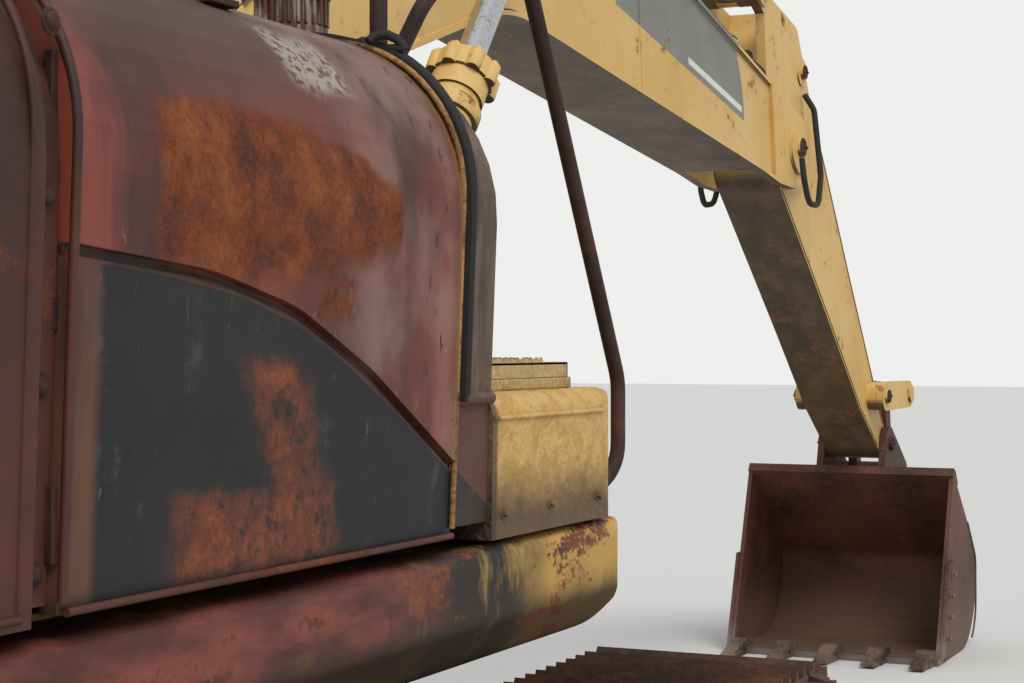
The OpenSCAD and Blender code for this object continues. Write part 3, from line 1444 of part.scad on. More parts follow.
place() mirror_left();
place() work_lamps();
place() boom();
place() boom_pipes();
place() boom_barrels();
place() boom_rods();
place() stick();
place() stick_barrel();
place() stick_rod();
place() bucket_barrel();
place() bucket_rod();
place() idler_links();
place() power_link();
place() bucket();
place() bucket_teeth();
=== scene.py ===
"""Looks of the crawler excavator: finishes for the solids, and the pieces that are too fine for them."""

import json
import math

import bpy
from mathutils import Matrix, Vector


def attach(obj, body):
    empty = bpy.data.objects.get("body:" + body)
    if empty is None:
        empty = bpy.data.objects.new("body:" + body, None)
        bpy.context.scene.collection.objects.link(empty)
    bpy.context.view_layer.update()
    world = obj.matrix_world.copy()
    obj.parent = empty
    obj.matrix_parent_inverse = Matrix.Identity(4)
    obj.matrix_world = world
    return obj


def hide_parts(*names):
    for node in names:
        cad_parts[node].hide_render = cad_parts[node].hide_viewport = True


bl_info = {
    "name": "Crawler Excavator",
    "version": (1, 0, 0),
    "blender": (4, 5, 0),
    "location": "View3D > Sidebar > Excavator",
    "description": "Dresses the packed crawler excavator with its finishes and fine pieces",
    "category": "Object",
}

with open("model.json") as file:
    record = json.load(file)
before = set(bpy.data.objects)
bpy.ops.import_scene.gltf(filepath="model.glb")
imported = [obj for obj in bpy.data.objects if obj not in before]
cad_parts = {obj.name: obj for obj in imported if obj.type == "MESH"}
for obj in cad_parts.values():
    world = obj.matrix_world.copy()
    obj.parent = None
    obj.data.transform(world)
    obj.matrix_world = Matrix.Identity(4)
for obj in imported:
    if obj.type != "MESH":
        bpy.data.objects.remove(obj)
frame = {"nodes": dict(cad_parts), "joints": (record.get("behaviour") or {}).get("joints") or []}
NODES = frame["nodes"]
JOINTS = {j["name"]: j for j in frame["joints"]}
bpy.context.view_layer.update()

# Places of the main pins, in metres in the row frame
FOOT = Vector(JOINTS["boom_lift"]["pos_m"])
TIP = Vector(JOINTS["stick_crowd"]["pos_m"])
BUCKET_PIN = Vector(JOINTS["bucket_curl"]["pos_m"])
SHIFT = FOOT.x - 0.28
BOOM_TURN = math.atan2(TIP.z - FOOT.z, TIP.x - FOOT.x)
KNEE = Vector(JOINTS["power_turn"]["pos_m"])
STICK_TURN = math.atan2(BUCKET_PIN.z - TIP.z, BUCKET_PIN.x - TIP.x)


def machine(x, y, z):
    """A place measured from the swing axis, in metres, as a place in the row frame."""
    return Vector((x + SHIFT, y, z))


def on_arm(pin, turn, x, y, z):
    """A place in a member's side view, whose x runs from the pin at the turn."""
    ahead, up = Vector((math.cos(turn), 0, math.sin(turn))), Vector((-math.sin(turn), 0, math.cos(turn)))
    return Vector((pin.x, y, pin.z)) + ahead * x + up * z


def on_boom(x, y, z):
    """A place in the boom's side view, x from the foot pin towards the stick pin."""
    return on_arm(FOOT, BOOM_TURN, x, y, z)


def on_stick(x, y, z):
    """A place in the stick's side view, x from the stick pin towards the bucket pin."""
    return on_arm(TIP, STICK_TURN, x, y, z)


def rgb(code):
    """A six-digit colour code as the linear colour that a shader takes."""
    parts = [int(code[i : i + 2], 16) / 255 for i in (0, 2, 4)]
    return [p / 12.92 if p <= 0.04045 else ((p + 0.055) / 1.055) ** 2.4 for p in parts] + [1.0]


# Finishes


class Flow:
    """One shader socket on which Python's own signs work."""

    def __init__(self, finish, socket):
        self.finish = finish
        self.socket = socket

    def sum(self, operation, *values):
        return self.finish.node("ShaderNodeMath", {"operation": operation}, *values)

    def __add__(self, other):
        return self.sum("ADD", self, other)

    __radd__ = __add__

    def __sub__(self, other):
        return self.sum("SUBTRACT", self, other)

    def __rsub__(self, other):
        return self.sum("SUBTRACT", other, self)

    def __mul__(self, other):
        return self.sum("MULTIPLY", self, other)

    __rmul__ = __mul__

    def __truediv__(self, other):
        return self.sum("DIVIDE", self, other)

    def __pow__(self, other):
        return self.sum("POWER", self, other)

    def size(self):
        return self.sum("ABSOLUTE", self)

    def most(self, other):
        return self.sum("MAXIMUM", self, other)

    def rise(self, low, high):
        """0 below low, 1 above high and smooth between."""
        smooth = {"interpolation_type": "SMOOTHSTEP"}
        return self.finish.node("ShaderNodeMapRange", smooth, self, low, high, 0.0, 1.0)

    def fall(self, low, high):
        return 1.0 - self.rise(low, high)

    def band(self, low, high, soft):
        return self.rise(low - soft, low + soft) * self.fall(high - soft, high + soft)


class Finish:
    """A material under construction, with object coordinates in metres."""

    def __init__(self, name):
        self.material = bpy.data.materials.new(name)
        self.material.use_nodes = True
        self.tree = self.material.node_tree
        self.tree.nodes.clear()
        self.out = self.tree.nodes.new("ShaderNodeOutputMaterial")
        self.shader = self.tree.nodes.new("ShaderNodeBsdfPrincipled")
        self.tree.links.new(self.shader.outputs[0], self.out.inputs[0])
        where = self.tree.nodes.new("ShaderNodeTexCoord")
        self.place = Flow(self, where.outputs["Object"])
        self.facing = Flow(self, where.outputs["Normal"])
        self.x, self.y, self.z = self.split(self.place)

    def put(self, socket, value):
        if isinstance(value, Flow):
            self.tree.links.new(value.socket, socket)
        elif value is not None:
            socket.default_value = value

    def node(self, kind, settings=None, *values, **named):
        made = self.tree.nodes.new(kind)
        for key, setting in (settings or {}).items():
            if key == "stops":
                ramp = made.color_ramp
                while len(ramp.elements) < len(setting):
                    ramp.elements.new(0.5)
                for element, (at, colour) in zip(ramp.elements, setting):
                    element.position = at
                    element.color = colour
            else:
                setattr(made, key, setting)
        for socket, value in zip(made.inputs, values):
            self.put(socket, value)
        for key, value in named.items():
            self.put(made.inputs[key.replace("_", " ")], value)
        return Flow(self, made.outputs[0])

    def split(self, vector):
        made = self.tree.nodes.new("ShaderNodeSeparateXYZ")
        self.put(made.inputs[0], vector)
        return [Flow(self, s) for s in made.outputs]

    def lay(self, turn=(0, 0, 0), stretch=(1, 1, 1), move=(0, 0, 0)):
        """Object coordinates moved, turned and stretched."""
        return self.node("ShaderNodeMapping", None, self.place, move, turn, stretch)

    def noise(self, scale, detail=4.0, rough=0.55, place=None, bend=0.0):
        settings = {"Scale": scale, "Detail": detail, "Roughness": rough, "Distortion": bend}
        return self.node("ShaderNodeTexNoise", None, Vector=place or self.place, **settings)

    def cells(self, scale):
        return self.node("ShaderNodeTexVoronoi", {"feature": "F1"}, Vector=self.place, Scale=scale)

    def bands(self, across, scale):
        settings = {"wave_type": "BANDS", "bands_direction": across}
        return self.node("ShaderNodeTexWave", settings, Vector=self.place, Scale=scale)

    def mix(self, fac, first, second):
        made = self.tree.nodes.new("ShaderNodeMix")
        made.data_type = "RGBA"
        self.put(made.inputs[0], fac)
        self.put(made.inputs[6], first)
        self.put(made.inputs[7], second)
        return Flow(self, made.outputs[2])

    def levels(self, value, low, high, points):
        """A number that follows value along a broken line of points (value, result)."""
        stops = [((v - low) / (high - low), [r] * 3 + [1.0]) for v, r in points]
        grey = self.node("ShaderNodeValToRGB", {"stops": stops}, (value - low) / (high - low))
        return self.node("ShaderNodeSeparateColor", None, grey)

    def bump(self, height, strength=0.4, distance=0.004):
        return self.node("ShaderNodeBump", None, Strength=strength, Distance=distance, Height=height)

    def done(self, colour, rough, metal=0.0, normal=None, **more):
        s = self.shader.inputs
        self.put(s["Base Color"], colour)
        self.put(s["Roughness"], rough)
        self.put(s["Metallic"], metal)
        if normal is not None:
            self.put(s["Normal"], normal)
        for key, value in more.items():
            self.put(s[key.replace("_", " ")], value)
        return self.material


def rust_colour(f, scale=9.0):
    """Rust from dark brown to orange in fine grains."""
    broad = f.noise(scale * 1.6, 6, 0.68)
    grain = f.noise(scale * 18, 4, 0.75)
    colours = [(0.0, "2a140c"), (0.4, "4a2211"), (0.52, "743614"), (0.66, "93501f"), (0.85, "b0702f")]
    stops = [(at, rgb(code)) for at, code in colours]
    return f.node("ShaderNodeValToRGB", {"stops": stops}, broad * 0.65 + grain * 0.35)


def yellow_paint(name, fade=0.5, rust=0.5, dirt=0.5, tone="cfa556", coat=None):
    """Sun-bleached yellow paint, stained by rust and dust, with soot and painted shade on the faces that look
    downwards.
    """
    f = Finish(name)
    cloud = f.noise(1.1, 5, 0.6)
    fine = f.noise(22, 4, 0.6)
    drip = f.noise(7, 5, 0.65, place=f.lay(stretch=(1, 1, 0.12)))
    base = f.mix(cloud.rise(0.35, 0.7) * fade, rgb(tone), rgb("dfc389"))
    base = f.mix((1.0 - cloud).rise(0.5, 0.75) * 0.45, base, rgb("b98a3c"))
    base = f.mix(drip.rise(0.52, 0.75) * dirt * 0.55, base, rgb("8f7448"))
    # Soot and painted shade: faces that look downwards are darkened to dark brown according to their normal.
    under = f.split(f.facing)[2].fall(-0.6, -0.1)
    base = f.mix(under * (0.78 + cloud * 0.3), base, f.mix(drip.rise(0.4, 0.7), rgb("2c2014"), rgb("57402a")))
    if coat:
        base = coat(f, base)
    spots = (f.noise(5.5, 7, 0.72) + (fine - 0.5) * 0.25).rise(0.66 - 0.06 * rust, 0.7)
    rim = (f.noise(5.5, 7, 0.72) + (fine - 0.5) * 0.25).rise(0.6 - 0.06 * rust, 0.66)
    base = f.mix(rim * 0.45 * rust, base, rgb("9a6a34"))
    base = f.mix(spots * (0.4 + 0.6 * rust), base, rust_colour(f))
    rough = 0.46 + cloud * 0.2 + spots * 0.3
    height = fine * 0.25 + f.noise(90, 3, 0.6) * 0.12 - spots * 0.5
    return f.done(base, rough, 0.0, f.bump(height, 0.35, 0.003))


def arm_panel(f, base):
    """Grey shape with a slanted tail, a rounded head and a pale bar, painted on the boom's sides."""
    bx, by, bz = f.split(f.lay(turn=(0, BOOM_TURN, 0)))
    lead = on_arm(Vector((0, 0, 0)), -BOOM_TURN, FOOT.x, 0, FOOT.z)
    bx = bx - lead.x
    bz = bz - lead.z
    # Height of the boom's middle line along the outer half
    mid = 1.232 - (bx - 3.0) * 0.348
    up = bz - mid
    left = 3.93 + up * 0.55
    right = 5.36 - (up + 0.19) ** 2.0 * 1.1
    inside = (bx - left).rise(0.0, 0.008) * (right - bx).rise(0.0, 0.008) * up.band(-0.235, 0.225, 0.004)
    bar = (bx - 4.62).rise(0.0, 0.008) * (right - 0.03 - bx).rise(0.0, 0.008) * up.band(-0.205, -0.175, 0.003)
    side = by.size().rise(0.185, 0.19)
    base = f.mix(inside * side, base, f.mix(f.noise(4, 4), rgb("6a6a62"), rgb("8a8a80")))
    return f.mix(bar * side, base, rgb("d9d6c8"))


def burnt_paint(name, warm=0.5):
    """Red-brown scorched paint with broad rust."""
    f = Finish(name)
    cloud = f.noise(1.6, 5, 0.62)
    streak = f.noise(5, 5, 0.6, place=f.lay(stretch=(1, 1, 0.22)))
    fine = f.noise(34, 4, 0.65)
    base = f.mix(cloud.rise(0.3, 0.7), rgb("361a13"), rgb("66301f"))
    base = f.mix(streak.rise(0.52, 0.72) * 0.6, base, rgb("7c4030"))
    base = f.mix((1.0 - streak).rise(0.55, 0.75) * 0.7, base, rgb("24130f"))
    patch = (f.noise(1.3, 5, 0.6, bend=0.6) + (fine - 0.5) * 0.2).rise(0.54, 0.6)
    base = f.mix(patch * warm, base, rust_colour(f, 7))
    height = fine * 0.5 + patch * f.noise(160, 2, 0.7) * 0.8
    return f.done(base, 0.62 + patch * 0.22, 0.0, f.bump(height, 0.4, 0.003))


# The pump door's character line: height at distances along the machine
LINE = [(-1.1, 1.926), (-1.01, 1.920), (-0.8, 1.903), (-0.62, 1.879), (-0.48, 1.844)]
LINE += [(-0.36, 1.800), (-0.24, 1.746), (-0.06, 1.656), (0.112, 1.564), (0.3, 1.444)]


def door_paint(name):
    """The pump door: burnt red above the character line, charcoal below it."""
    f = Finish(name)
    x = f.x - SHIFT
    wave = f.noise(9, 5, 0.6) - 0.5
    fine = f.noise(60, 4, 0.7)
    wx = x + wave * 0.07
    wz = f.z + (f.noise(11, 5, 0.6) - 0.5) * 0.07
    cloud = f.noise(2.3, 5, 0.6)
    streak = f.noise(7, 5, 0.62, place=f.lay(stretch=(1, 1, 0.16)))
    # Upper panel
    base = f.mix((cloud * 0.7 + streak * 0.3).rise(0.36, 0.66), rgb("381a14"), rgb("74331f"))
    base = f.mix(wz.rise(2.06, 2.3) * 0.8, base, f.mix(streak, rgb("2e1c16"), rgb("5c4034")))
    base = f.mix((streak.rise(0.5, 0.7) * wz.fall(2.0, 2.2)) * 0.55, base, rgb("8c4534"))
    base = f.mix(x.fall(-0.99, -0.86) * wz.fall(2.1, 2.3) * streak.rise(0.4, 0.6) * 0.7, base, rgb("8e4030"))
    pale = wx.band(-0.30, 0.1, 0.09) * (f.noise(3.1, 4) + 0.15 * streak).rise(0.42, 0.66)
    base = f.mix(pale * 0.62, base, rgb("967468"))
    scuff = f.noise(26, 6, 0.75, place=f.lay(stretch=(1, 1, 0.3))).rise(0.6, 0.68) * wz.fall(1.9, 2.1)
    base = f.mix(scuff * 0.5, base, rgb("9a6a56"))
    base = f.mix((1.0 - streak).rise(0.56, 0.7) * 0.65, base, rgb("35201a"))
    # Rust field
    top = 2.150 - (x + 0.62) ** 2.0 * 0.42
    low = 1.885 + (x + 0.6) ** 2.0 * 0.34
    along = (wx - -0.86).rise(-0.02, 0.03) * (-0.15 - wx).rise(-0.006, 0.012)
    field = along * (top - wz).rise(-0.012, 0.02) * (wz - low).rise(-0.02, 0.03)
    tail = wx.band(-0.42, -0.3, 0.02) * wz.band(1.83, 1.9, 0.015)
    field = field.most(tail * f.noise(40, 3).rise(0.42, 0.5))
    base = f.mix(field, base, rust_colour(f, 6))
    # Scorched bald spot on the shoulder
    bald = wx.band(-0.42, -0.24, 0.02) * wz.band(2.2, 2.3, 0.02) * fine.rise(0.42, 0.5)
    base = f.mix(bald * 0.8, base, rgb("a79c90"))
    # Chips along the front edge
    chips = f.noise(30, 3, 0.6, place=f.lay(stretch=(1.6, 1, 0.5))).rise(0.63, 0.66) * x.rise(-0.12, 0.02)
    base = f.mix(chips, base, rgb("20130e"))
    edge = x.rise(0.066, 0.076)
    base = f.mix(edge * 0.85, base, f.mix(fine, rgb("a5783c"), rgb("5d3a1e")))
    # Lower panel
    limit = f.levels(x, -1.1, 0.3, [(a, b - 1.4) for a, b in LINE]) + 1.4
    below = (limit - 0.014 - f.z).rise(0.0, 0.006)
    dark = f.mix(cloud.rise(0.4, 0.7), rgb("100f0f"), rgb("211f1e"))
    dark = f.mix((f.noise(16, 6, 0.7) * streak).rise(0.3, 0.42) * 0.55, dark, rgb("4a4a48"))
    scratch = f.noise(44, 6, 0.8, place=f.lay(turn=(0, 0.6, 0), stretch=(1, 1, 0.2))).rise(0.64, 0.68)
    dark = f.mix(scratch * 0.7, dark, rgb("6f6d68"))
    glow = (wx.band(-0.78, -0.34, 0.03) * wz.band(1.44, 1.57, 0.02)).most(
        (wx + (wz - 1.6) * 0.5).band(-0.53, -0.38, 0.04) * wz.band(1.46, 1.77, 0.03)
    )
    glow = glow * (cloud * 0.5 + f.noise(14, 6, 0.7) * 0.6 + fine * 0.3).rise(0.58, 0.74)
    dark = f.mix(glow, dark, rust_colour(f, 8))
    rear = x.fall(-0.985, -0.955)
    dark = f.mix(rear, dark, f.mix(streak.rise(0.35, 0.65), rgb("2c1812"), rgb("64402a")))
    foot = f.z.fall(1.45, 1.475) * 0.6
    dark = f.mix(foot, dark, rgb("17120f"))
    base = f.mix(below, base, dark)
    # Painted shade: a dark band just under the character line stands in for the shadow in the groove below the
    # upper panel's edge.
    groove_shade = (limit - f.z).band(0.0, 0.016, 0.004)
    base = f.mix(groove_shade * 0.8, base, rgb("140d0a"))
    rough = 0.5 + field * 0.35 + below * 0.08 + cloud * 0.12
    height = fine * 0.3 + field * f.noise(190, 2, 0.7) * 0.9 + glow * 0.4 - chips * 0.6
    return f.done(base, rough, 0.0, f.bump(height, 0.45, 0.0025))


def tank_paint(name):
    """The front of the tank: brown with heat, its lower strip charcoal."""
    f = Finish(name)
    x = f.x - SHIFT
    cloud = f.noise(3, 5, 0.6)
    streak = f.noise(9, 5, 0.6, place=f.lay(stretch=(1, 1, 0.2)))
    fine = f.noise(50, 4, 0.7)
    base = f.mix(cloud.rise(0.3, 0.7), rgb("382c25"), rgb("5e4c3f"))
    base = f.mix(streak.rise(0.5, 0.7) * 0.5, base, rgb("8c7460"))
    low = f.z.fall(1.69, 1.70)
    line = 1.577 - (x - 0.112) * 0.57
    char = low * (line - f.z).rise(-0.004, 0.004)
    base = f.mix(low * 0.6, base, rgb("5b2e22"))
    base = f.mix(char, base, f.mix(cloud, rgb("1a1716"), rgb("3a342e")))
    base = f.mix((fine * cloud).rise(0.32, 0.4) * 0.8, base, rust_colour(f, 8))
    return f.done(base, 0.6 + cloud * 0.15, 0.0, f.bump(fine, 0.4, 0.003))


def skirt_paint(name):
    """Side skirt: scorched at the rear and yellow again at its front end."""
    f = Finish(name)
    x = f.x - SHIFT
    cloud = f.noise(3.2, 5, 0.62, place=f.lay(stretch=(0.6, 1, 1)))
    streak = f.noise(9, 5, 0.6, place=f.lay(stretch=(0.3, 1, 1)))
    drip = f.noise(7, 6, 0.7, place=f.lay(stretch=(1, 1, 0.35)))
    fine = f.noise(60, 4, 0.7)
    red = f.mix(streak.rise(0.4, 0.65), rgb("4e231a"), rgb("8a4636"))
    red = f.mix(cloud.rise(0.56, 0.64) * 0.7, red, rgb("93642e"))
    red = f.mix((1.0 - drip).rise(0.56, 0.72) * 0.5, red, rgb("2c1c15"))
    soot = f.mix(drip.rise(0.5, 0.66), rgb("1f1a13"), rgb("9c7c3c"))
    yellow = f.mix(cloud, rgb("c09a4c"), rgb("b98f3e"))
    base = f.mix((x + (cloud - 0.5) * 0.5).rise(-0.25, 0.2), red, soot)
    base = f.mix((x + (cloud - 0.5) * 0.4).rise(0.4, 0.62), base, yellow)
    under = (f.z + (drip - 0.5) * 0.12).fall(1.24, 1.34)
    base = f.mix(under * 0.8, base, rgb("2a2013"))
    base = f.mix((fine * 0.4 + streak).rise(0.78, 0.84), base, rust_colour(f, 8))
    return f.done(base, 0.55 + cloud * 0.15, 0.0, f.bump(fine * 0.6 + drip * 0.4, 0.35, 0.003))


def crinkled_paint(name):
    """Yellow paint that heat has wrinkled, sooty towards the bottom."""
    f = Finish(name)
    fold = f.noise(24, 4, 0.55, bend=0.9)
    fine = f.noise(85, 4, 0.65, bend=0.6)
    cloud = f.noise(4, 5, 0.6)
    # Painted shade and light: the wrinkles' hollows are darker and their crests lighter, following the same
    # folds as the bump.
    base = f.mix(fold.rise(0.35, 0.65), rgb("c09346"), rgb("d3ad64"))
    base = f.mix(cloud.rise(0.55, 0.7) * 0.5, base, rgb("e6d3a4"))
    soot = (f.z + (cloud - 0.5) * 0.14).fall(1.44, 1.56)
    base = f.mix(soot * 0.9, base, rgb("4a3518"))
    base = f.mix((fold * fine).rise(0.34, 0.42) * 0.45, base, rgb("8a6230"))
    x = f.x - SHIFT
    base = f.mix(x.fall(0.285, 0.3) * 0.8, base, rgb("33271a"))
    return f.done(base, 0.55, 0.0, f.bump(fold * 1.0 + fine * 0.4, 0.8, 0.012))


def rusty_steel(name, dark="2a1a13", light="6b3a22", shine=0.0, dust=0.4, scale=6.0):
    """Rusted steel with dust in its hollows."""
    f = Finish(name)
    cloud = f.noise(scale * 0.4, 5, 0.6)
    fine = f.noise(scale * 9, 4, 0.7)
    base = f.mix((cloud * 0.6 + fine * 0.4).rise(0.35, 0.65), rgb(dark), rgb(light))
    base = f.mix(cloud.rise(0.5, 0.75) * dust, base, rgb("7b6348"))
    return f.done(base, 0.68 - shine * 0.25 + fine * 0.12, 0.35 * shine, f.bump(fine + cloud, 0.5, 0.003))


def bucket_finish(name):
    """Bucket steel: brown rust, scoured bright towards the lip."""
    f = Finish(name)
    cloud = f.noise(2, 5, 0.6)
    fine = f.noise(40, 4, 0.7)
    scratch = f.noise(24, 3, 0.6, place=f.lay(stretch=(0.12, 1, 0.5)))
    base = f.mix(cloud.rise(0.35, 0.65), rgb("38211a"), rgb("63382a"))
    base = f.mix(fine.rise(0.5, 0.7) * 0.5, base, rgb("84543a"))
    low = (f.z + (cloud - 0.5) * 0.3).fall(0.05, 0.45)
    base = f.mix(low * 0.6, base, rgb("6c5540"))
    worn = (BUCKET_PIN.x - 0.42 - f.x + (scratch - 0.5) * 0.2).rise(0.0, 0.12) * f.z.fall(0.05, 0.2)
    base = f.mix(worn * 0.6, base, rgb("9a9189"))
    return f.done(base, 0.66 - worn * 0.25, worn * 0.7, f.bump(fine * 0.6 + scratch * 0.4, 0.45, 0.003))


def chrome_finish(name):
    f = Finish(name)
    ring = f.noise(60, 3, 0.6)
    base = f.mix(ring.rise(0.5, 0.7), rgb("c9c9c8"), rgb("a5a4a2"))
    spot = f.noise(26, 6, 0.7).rise(0.68, 0.72)
    base = f.mix(spot, base, rgb("6b4a30"))
    return f.done(base, 0.16 + spot * 0.4, 0.95, f.bump(ring, 0.05, 0.001))


def rubber_finish(name):
    f = Finish(name)
    fine = f.noise(70, 4, 0.7)
    base = f.mix(f.noise(6, 4), rgb("141312"), rgb("2b2826"))
    return f.done(base, 0.72 + fine * 0.1, 0.0, f.bump(fine, 0.4, 0.002))


def plastic_finish(name):
    f = Finish(name)
    grain = f.cells(900)
    base = f.mix(f.noise(3, 4), rgb("1b1b1b"), rgb("2a2927"))
    return f.done(base, 0.5 + f.noise(8, 4) * 0.15, 0.0, f.bump(grain, 0.15, 0.0005))


def glass_finish(name):
    f = Finish(name)
    dust = f.noise(4, 5, 0.6).rise(0.42, 0.75)
    base = f.mix(dust * 0.5, rgb("5d6a66"), rgb("9b9382"))
    return f.done(base, 0.06 + dust * 0.25, 0.0, None, Alpha=0.38 + dust * 0.2)


def cloth_finish(name):
    f = Finish(name)
    warp, weft = f.bands("Y", 190.0), f.bands("Z", 190.0)
    base = f.mix(f.noise(14, 4), rgb("232327"), rgb("3a3a40"))
    return f.done(base, 0.88, 0.0, f.bump(warp * weft, 0.4, 0.001))


def cap_finish(name):
    """Cast cap with pale burnt streaks running down."""
    f = Finish(name)
    streak = f.noise(55, 4, 0.6, place=f.lay(stretch=(1, 1, 0.08)))
    base = f.mix(streak.rise(0.45, 0.6), rgb("5a4032"), rgb("a59684"))
    base = f.mix(f.noise(18, 4).rise(0.5, 0.62) * 0.7, base, rgb("6d3a20"))
    return f.done(base, 0.6, 0.2, f.bump(streak, 0.4, 0.002))


def lamp_finish(name):
    f = Finish(name)
    ribs = f.bands("Y", 60.0)
    base = f.mix(f.noise(20), rgb("b9bcb8"), rgb("8f938f"))
    return f.done(base, 0.18, 0.1, f.bump(ribs, 0.3, 0.002))


FINISHES = {}


def make_finishes():
    FINISHES.update(
        arm=yellow_paint("arm_yellow", coat=arm_panel),
        stick=yellow_paint("stick_yellow", fade=0.45, rust=0.7, dirt=0.7),
        cab=yellow_paint("cab_yellow", fade=0.6, rust=0.35),
        frame=yellow_paint("frame_yellow", fade=0.2, rust=0.9, dirt=1.0, tone="a5813f"),
        weight=yellow_paint("weight_yellow", fade=0.5, rust=0.5, dirt=0.7, tone="b8904a"),
        cylinder=yellow_paint("cylinder_yellow", fade=0.4, rust=0.6, dirt=0.6, tone="d2a854"),
        burnt=burnt_paint("burnt_red"),
        soot=burnt_paint("sooty_red", 0.25),
        door=door_paint("door_burnt"),
        tank=tank_paint("tank_burnt"),
        skirt=skirt_paint("skirt_scorched"),
        worn=rusty_steel("worn_edge", "3a2418", "b98a4a", 0.2, 0.2, 14),
        tread=rusty_steel("tread_straw", "8a6a38", "cdb27c", 0.1, 0.4, 10),
        crinkled=crinkled_paint("crinkled_yellow"),
        track=rusty_steel("track_steel", "241710", "5b3524", 0.6, 0.35),
        cast=rusty_steel("cast_rust", "241a14", "503324", 0.1, 0.5),
        dark=rusty_steel("rail_brown", "1d110d", "4a261b", 0.2, 0.1, 12),
        pipe=rusty_steel("pipe_brown", "231c17", "4d382a", 0.4, 0.3, 12),
        bucket=bucket_finish("bucket_rust"),
        teeth=rusty_steel("tooth_steel", "3b2a20", "8a7564", 0.9, 0.4),
        chrome=chrome_finish("rod_chrome"),
        rubber=rubber_finish("scorched_rubber"),
        plastic=plastic_finish("grained_plastic"),
        glass=glass_finish("dusty_glass"),
        cloth=cloth_finish("seat_cloth"),
        cap=cap_finish("cap_cast"),
        lamp=lamp_finish("lamp_glass"),
    )


NODE_FINISH = {
    "cab": "cab_shell cab_side_left cab_side_right roof_hatch cab_door left_cover radiator_door",
    "frame": "carbody track_frame_left track_frame_right upper_frame side_skirt_left swing_drive cab_base",
    "weight": "counterweight",
    "burnt": "engine_housing engine_hood top_cover_right exhaust",
    "soot": "hydraulic_tank",
    "door": "pump_door",
    "tank": "fuel_tank",
    "skirt": "side_skirt_right",
    "crinkled": "tool_box",
    "tread": "tread_plates",
    "track": "track_left track_right",
    "cast": "swing_bearing sprocket_left sprocket_right idler_left idler_right rollers_left rollers_right "
    "engine_block valve_block",
    "dark": "handrail_front",
    "pipe": "boom_pipes",
    "arm": "boom",
    "stick": "stick idler_links",
    "cylinder": "boom_barrels stick_barrel bucket_barrel",
    "chrome": "boom_rods stick_rod bucket_rod",
    "bucket": "bucket power_link",
    "teeth": "bucket_teeth",
    "rubber": "door_seal",
    "plastic": "controls mirror_left work_lamps air_intake",
    "glass": "cab_glass door_glass",
    "cloth": "seat",
    "cap": "filler_cap",
}


SLOTS = {
    "arm_paint": "arm stick cylinder",
    "frame_paint": "frame",
    "burnt_paint": "burnt",
    "box_paint": "crinkled tread",
    "track_steel": "track",
    "cast_parts": "cast",
    "rail_steel": "dark worn",
    "pipe_steel": "pipe",
    "bucket_steel": "bucket",
    "tooth_steel": "teeth",
    "rod_chrome": "chrome",
    "seal": "rubber",
    "cab_plastic": "plastic",
    "cab_window": "lamp glass",
    "seat_cloth": "cloth",
    "cap_metal": "cap",
}
SLOT_OF = {finish: slot for slot, finishes in SLOTS.items() for finish in finishes.split()}


# Modelling helpers


def clear_selection():
    if bpy.context.mode != "OBJECT":
        bpy.ops.object.mode_set(mode="OBJECT")
    bpy.ops.object.select_all(action="DESELECT")


def pick(piece):
    """Makes the piece the only one selected, and the active one."""
    clear_selection()
    piece.select_set(True)
    bpy.context.view_layer.objects.active = piece


def newest(name):
    piece = bpy.context.active_object
    piece.name = name
    piece.data.name = name
    return piece


def add_modifier(piece, kind, **settings):
    """Adds a modifier and applies it at once."""
    pick(piece)
    bpy.ops.object.modifier_add(type=kind)
    modifier = piece.modifiers[-1]
    for key, value in settings.items():
        setattr(modifier, key, value)
    bpy.ops.object.modifier_apply(modifier=modifier.name)


def fix_place(piece):
    """Leaves the piece's object at the origin, with its place in its mesh."""
    pick(piece)
    bpy.ops.object.transform_apply(location=True, rotation=True, scale=True)


def put(piece, place):
    """Moves the piece to a place and fixes it there."""
    piece.matrix_world = place
    fix_place(piece)
    return piece


def smooth(piece, degrees=35):
    pick(piece)
    bpy.ops.object.shade_smooth_by_angle(angle=math.radians(degrees))


def hand_over(piece, body, finish, *replaced):
    """Gives a finished piece its finish and lets it ride on its body."""
    piece.data.materials.clear()
    piece.data.materials.append(FINISHES[finish])
    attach(piece, body)
    if replaced:
        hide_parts(*replaced)


def block(name, low, high, rounding=0.004, segments=2):
    """A block between two corners with rounded edges."""
    clear_selection()
    low, high = Vector(low), Vector(high)
    bpy.ops.mesh.primitive_cube_add(size=1, location=(low + high) / 2)
    piece = newest(name)
    piece.scale = high - low
    fix_place(piece)
    if rounding:
        add_modifier(piece, "BEVEL", width=rounding, segments=segments, limit_method="ANGLE")
    return piece


def slab(name, low, high, rounding=0.004, segments=2):
    """A block between two corners measured from the swing axis."""
    return block(name, machine(*low), machine(*high), rounding, segments)


def angles(count, start=0.0):
    """Even steps round a circle."""
    return [start + math.tau * i / count for i in range(count)]


def corner_arc(back, corner, fore, radius, steps=9):
    """Points of the arc that turns a corner on a radius."""
    u = (back - corner).normalized()
    v = (fore - corner).normalized()
    nearly_straight = 3.1
    if radius <= 0 or u.angle(v) > nearly_straight:
        return [corner]
    half = u.angle(v) / 2
    # Two arcs on one edge share it, with a little left between them
    share = 0.48
    run = min(radius / math.tan(half), (back - corner).length * share, (fore - corner).length * share)
    centre = corner + (u + v).normalized() * run / math.cos(half)
    first, last = corner + u * run - centre, corner + v * run - centre
    return [centre + first.slerp(last, k / (steps - 1)).normalized() * first.length for k in range(steps)]


def turned_path(points, bend, closed=False):
    """The points with each corner turned on the radius bend."""
    points = [Vector(p) for p in points]
    path = []
    count = len(points)
    for i, p in enumerate(points):
        if bend and (closed or 0 < i < count - 1):
            path += corner_arc(points[i - 1], p, points[(i + 1) % count], bend)
        else:
            path.append(p)
    return path


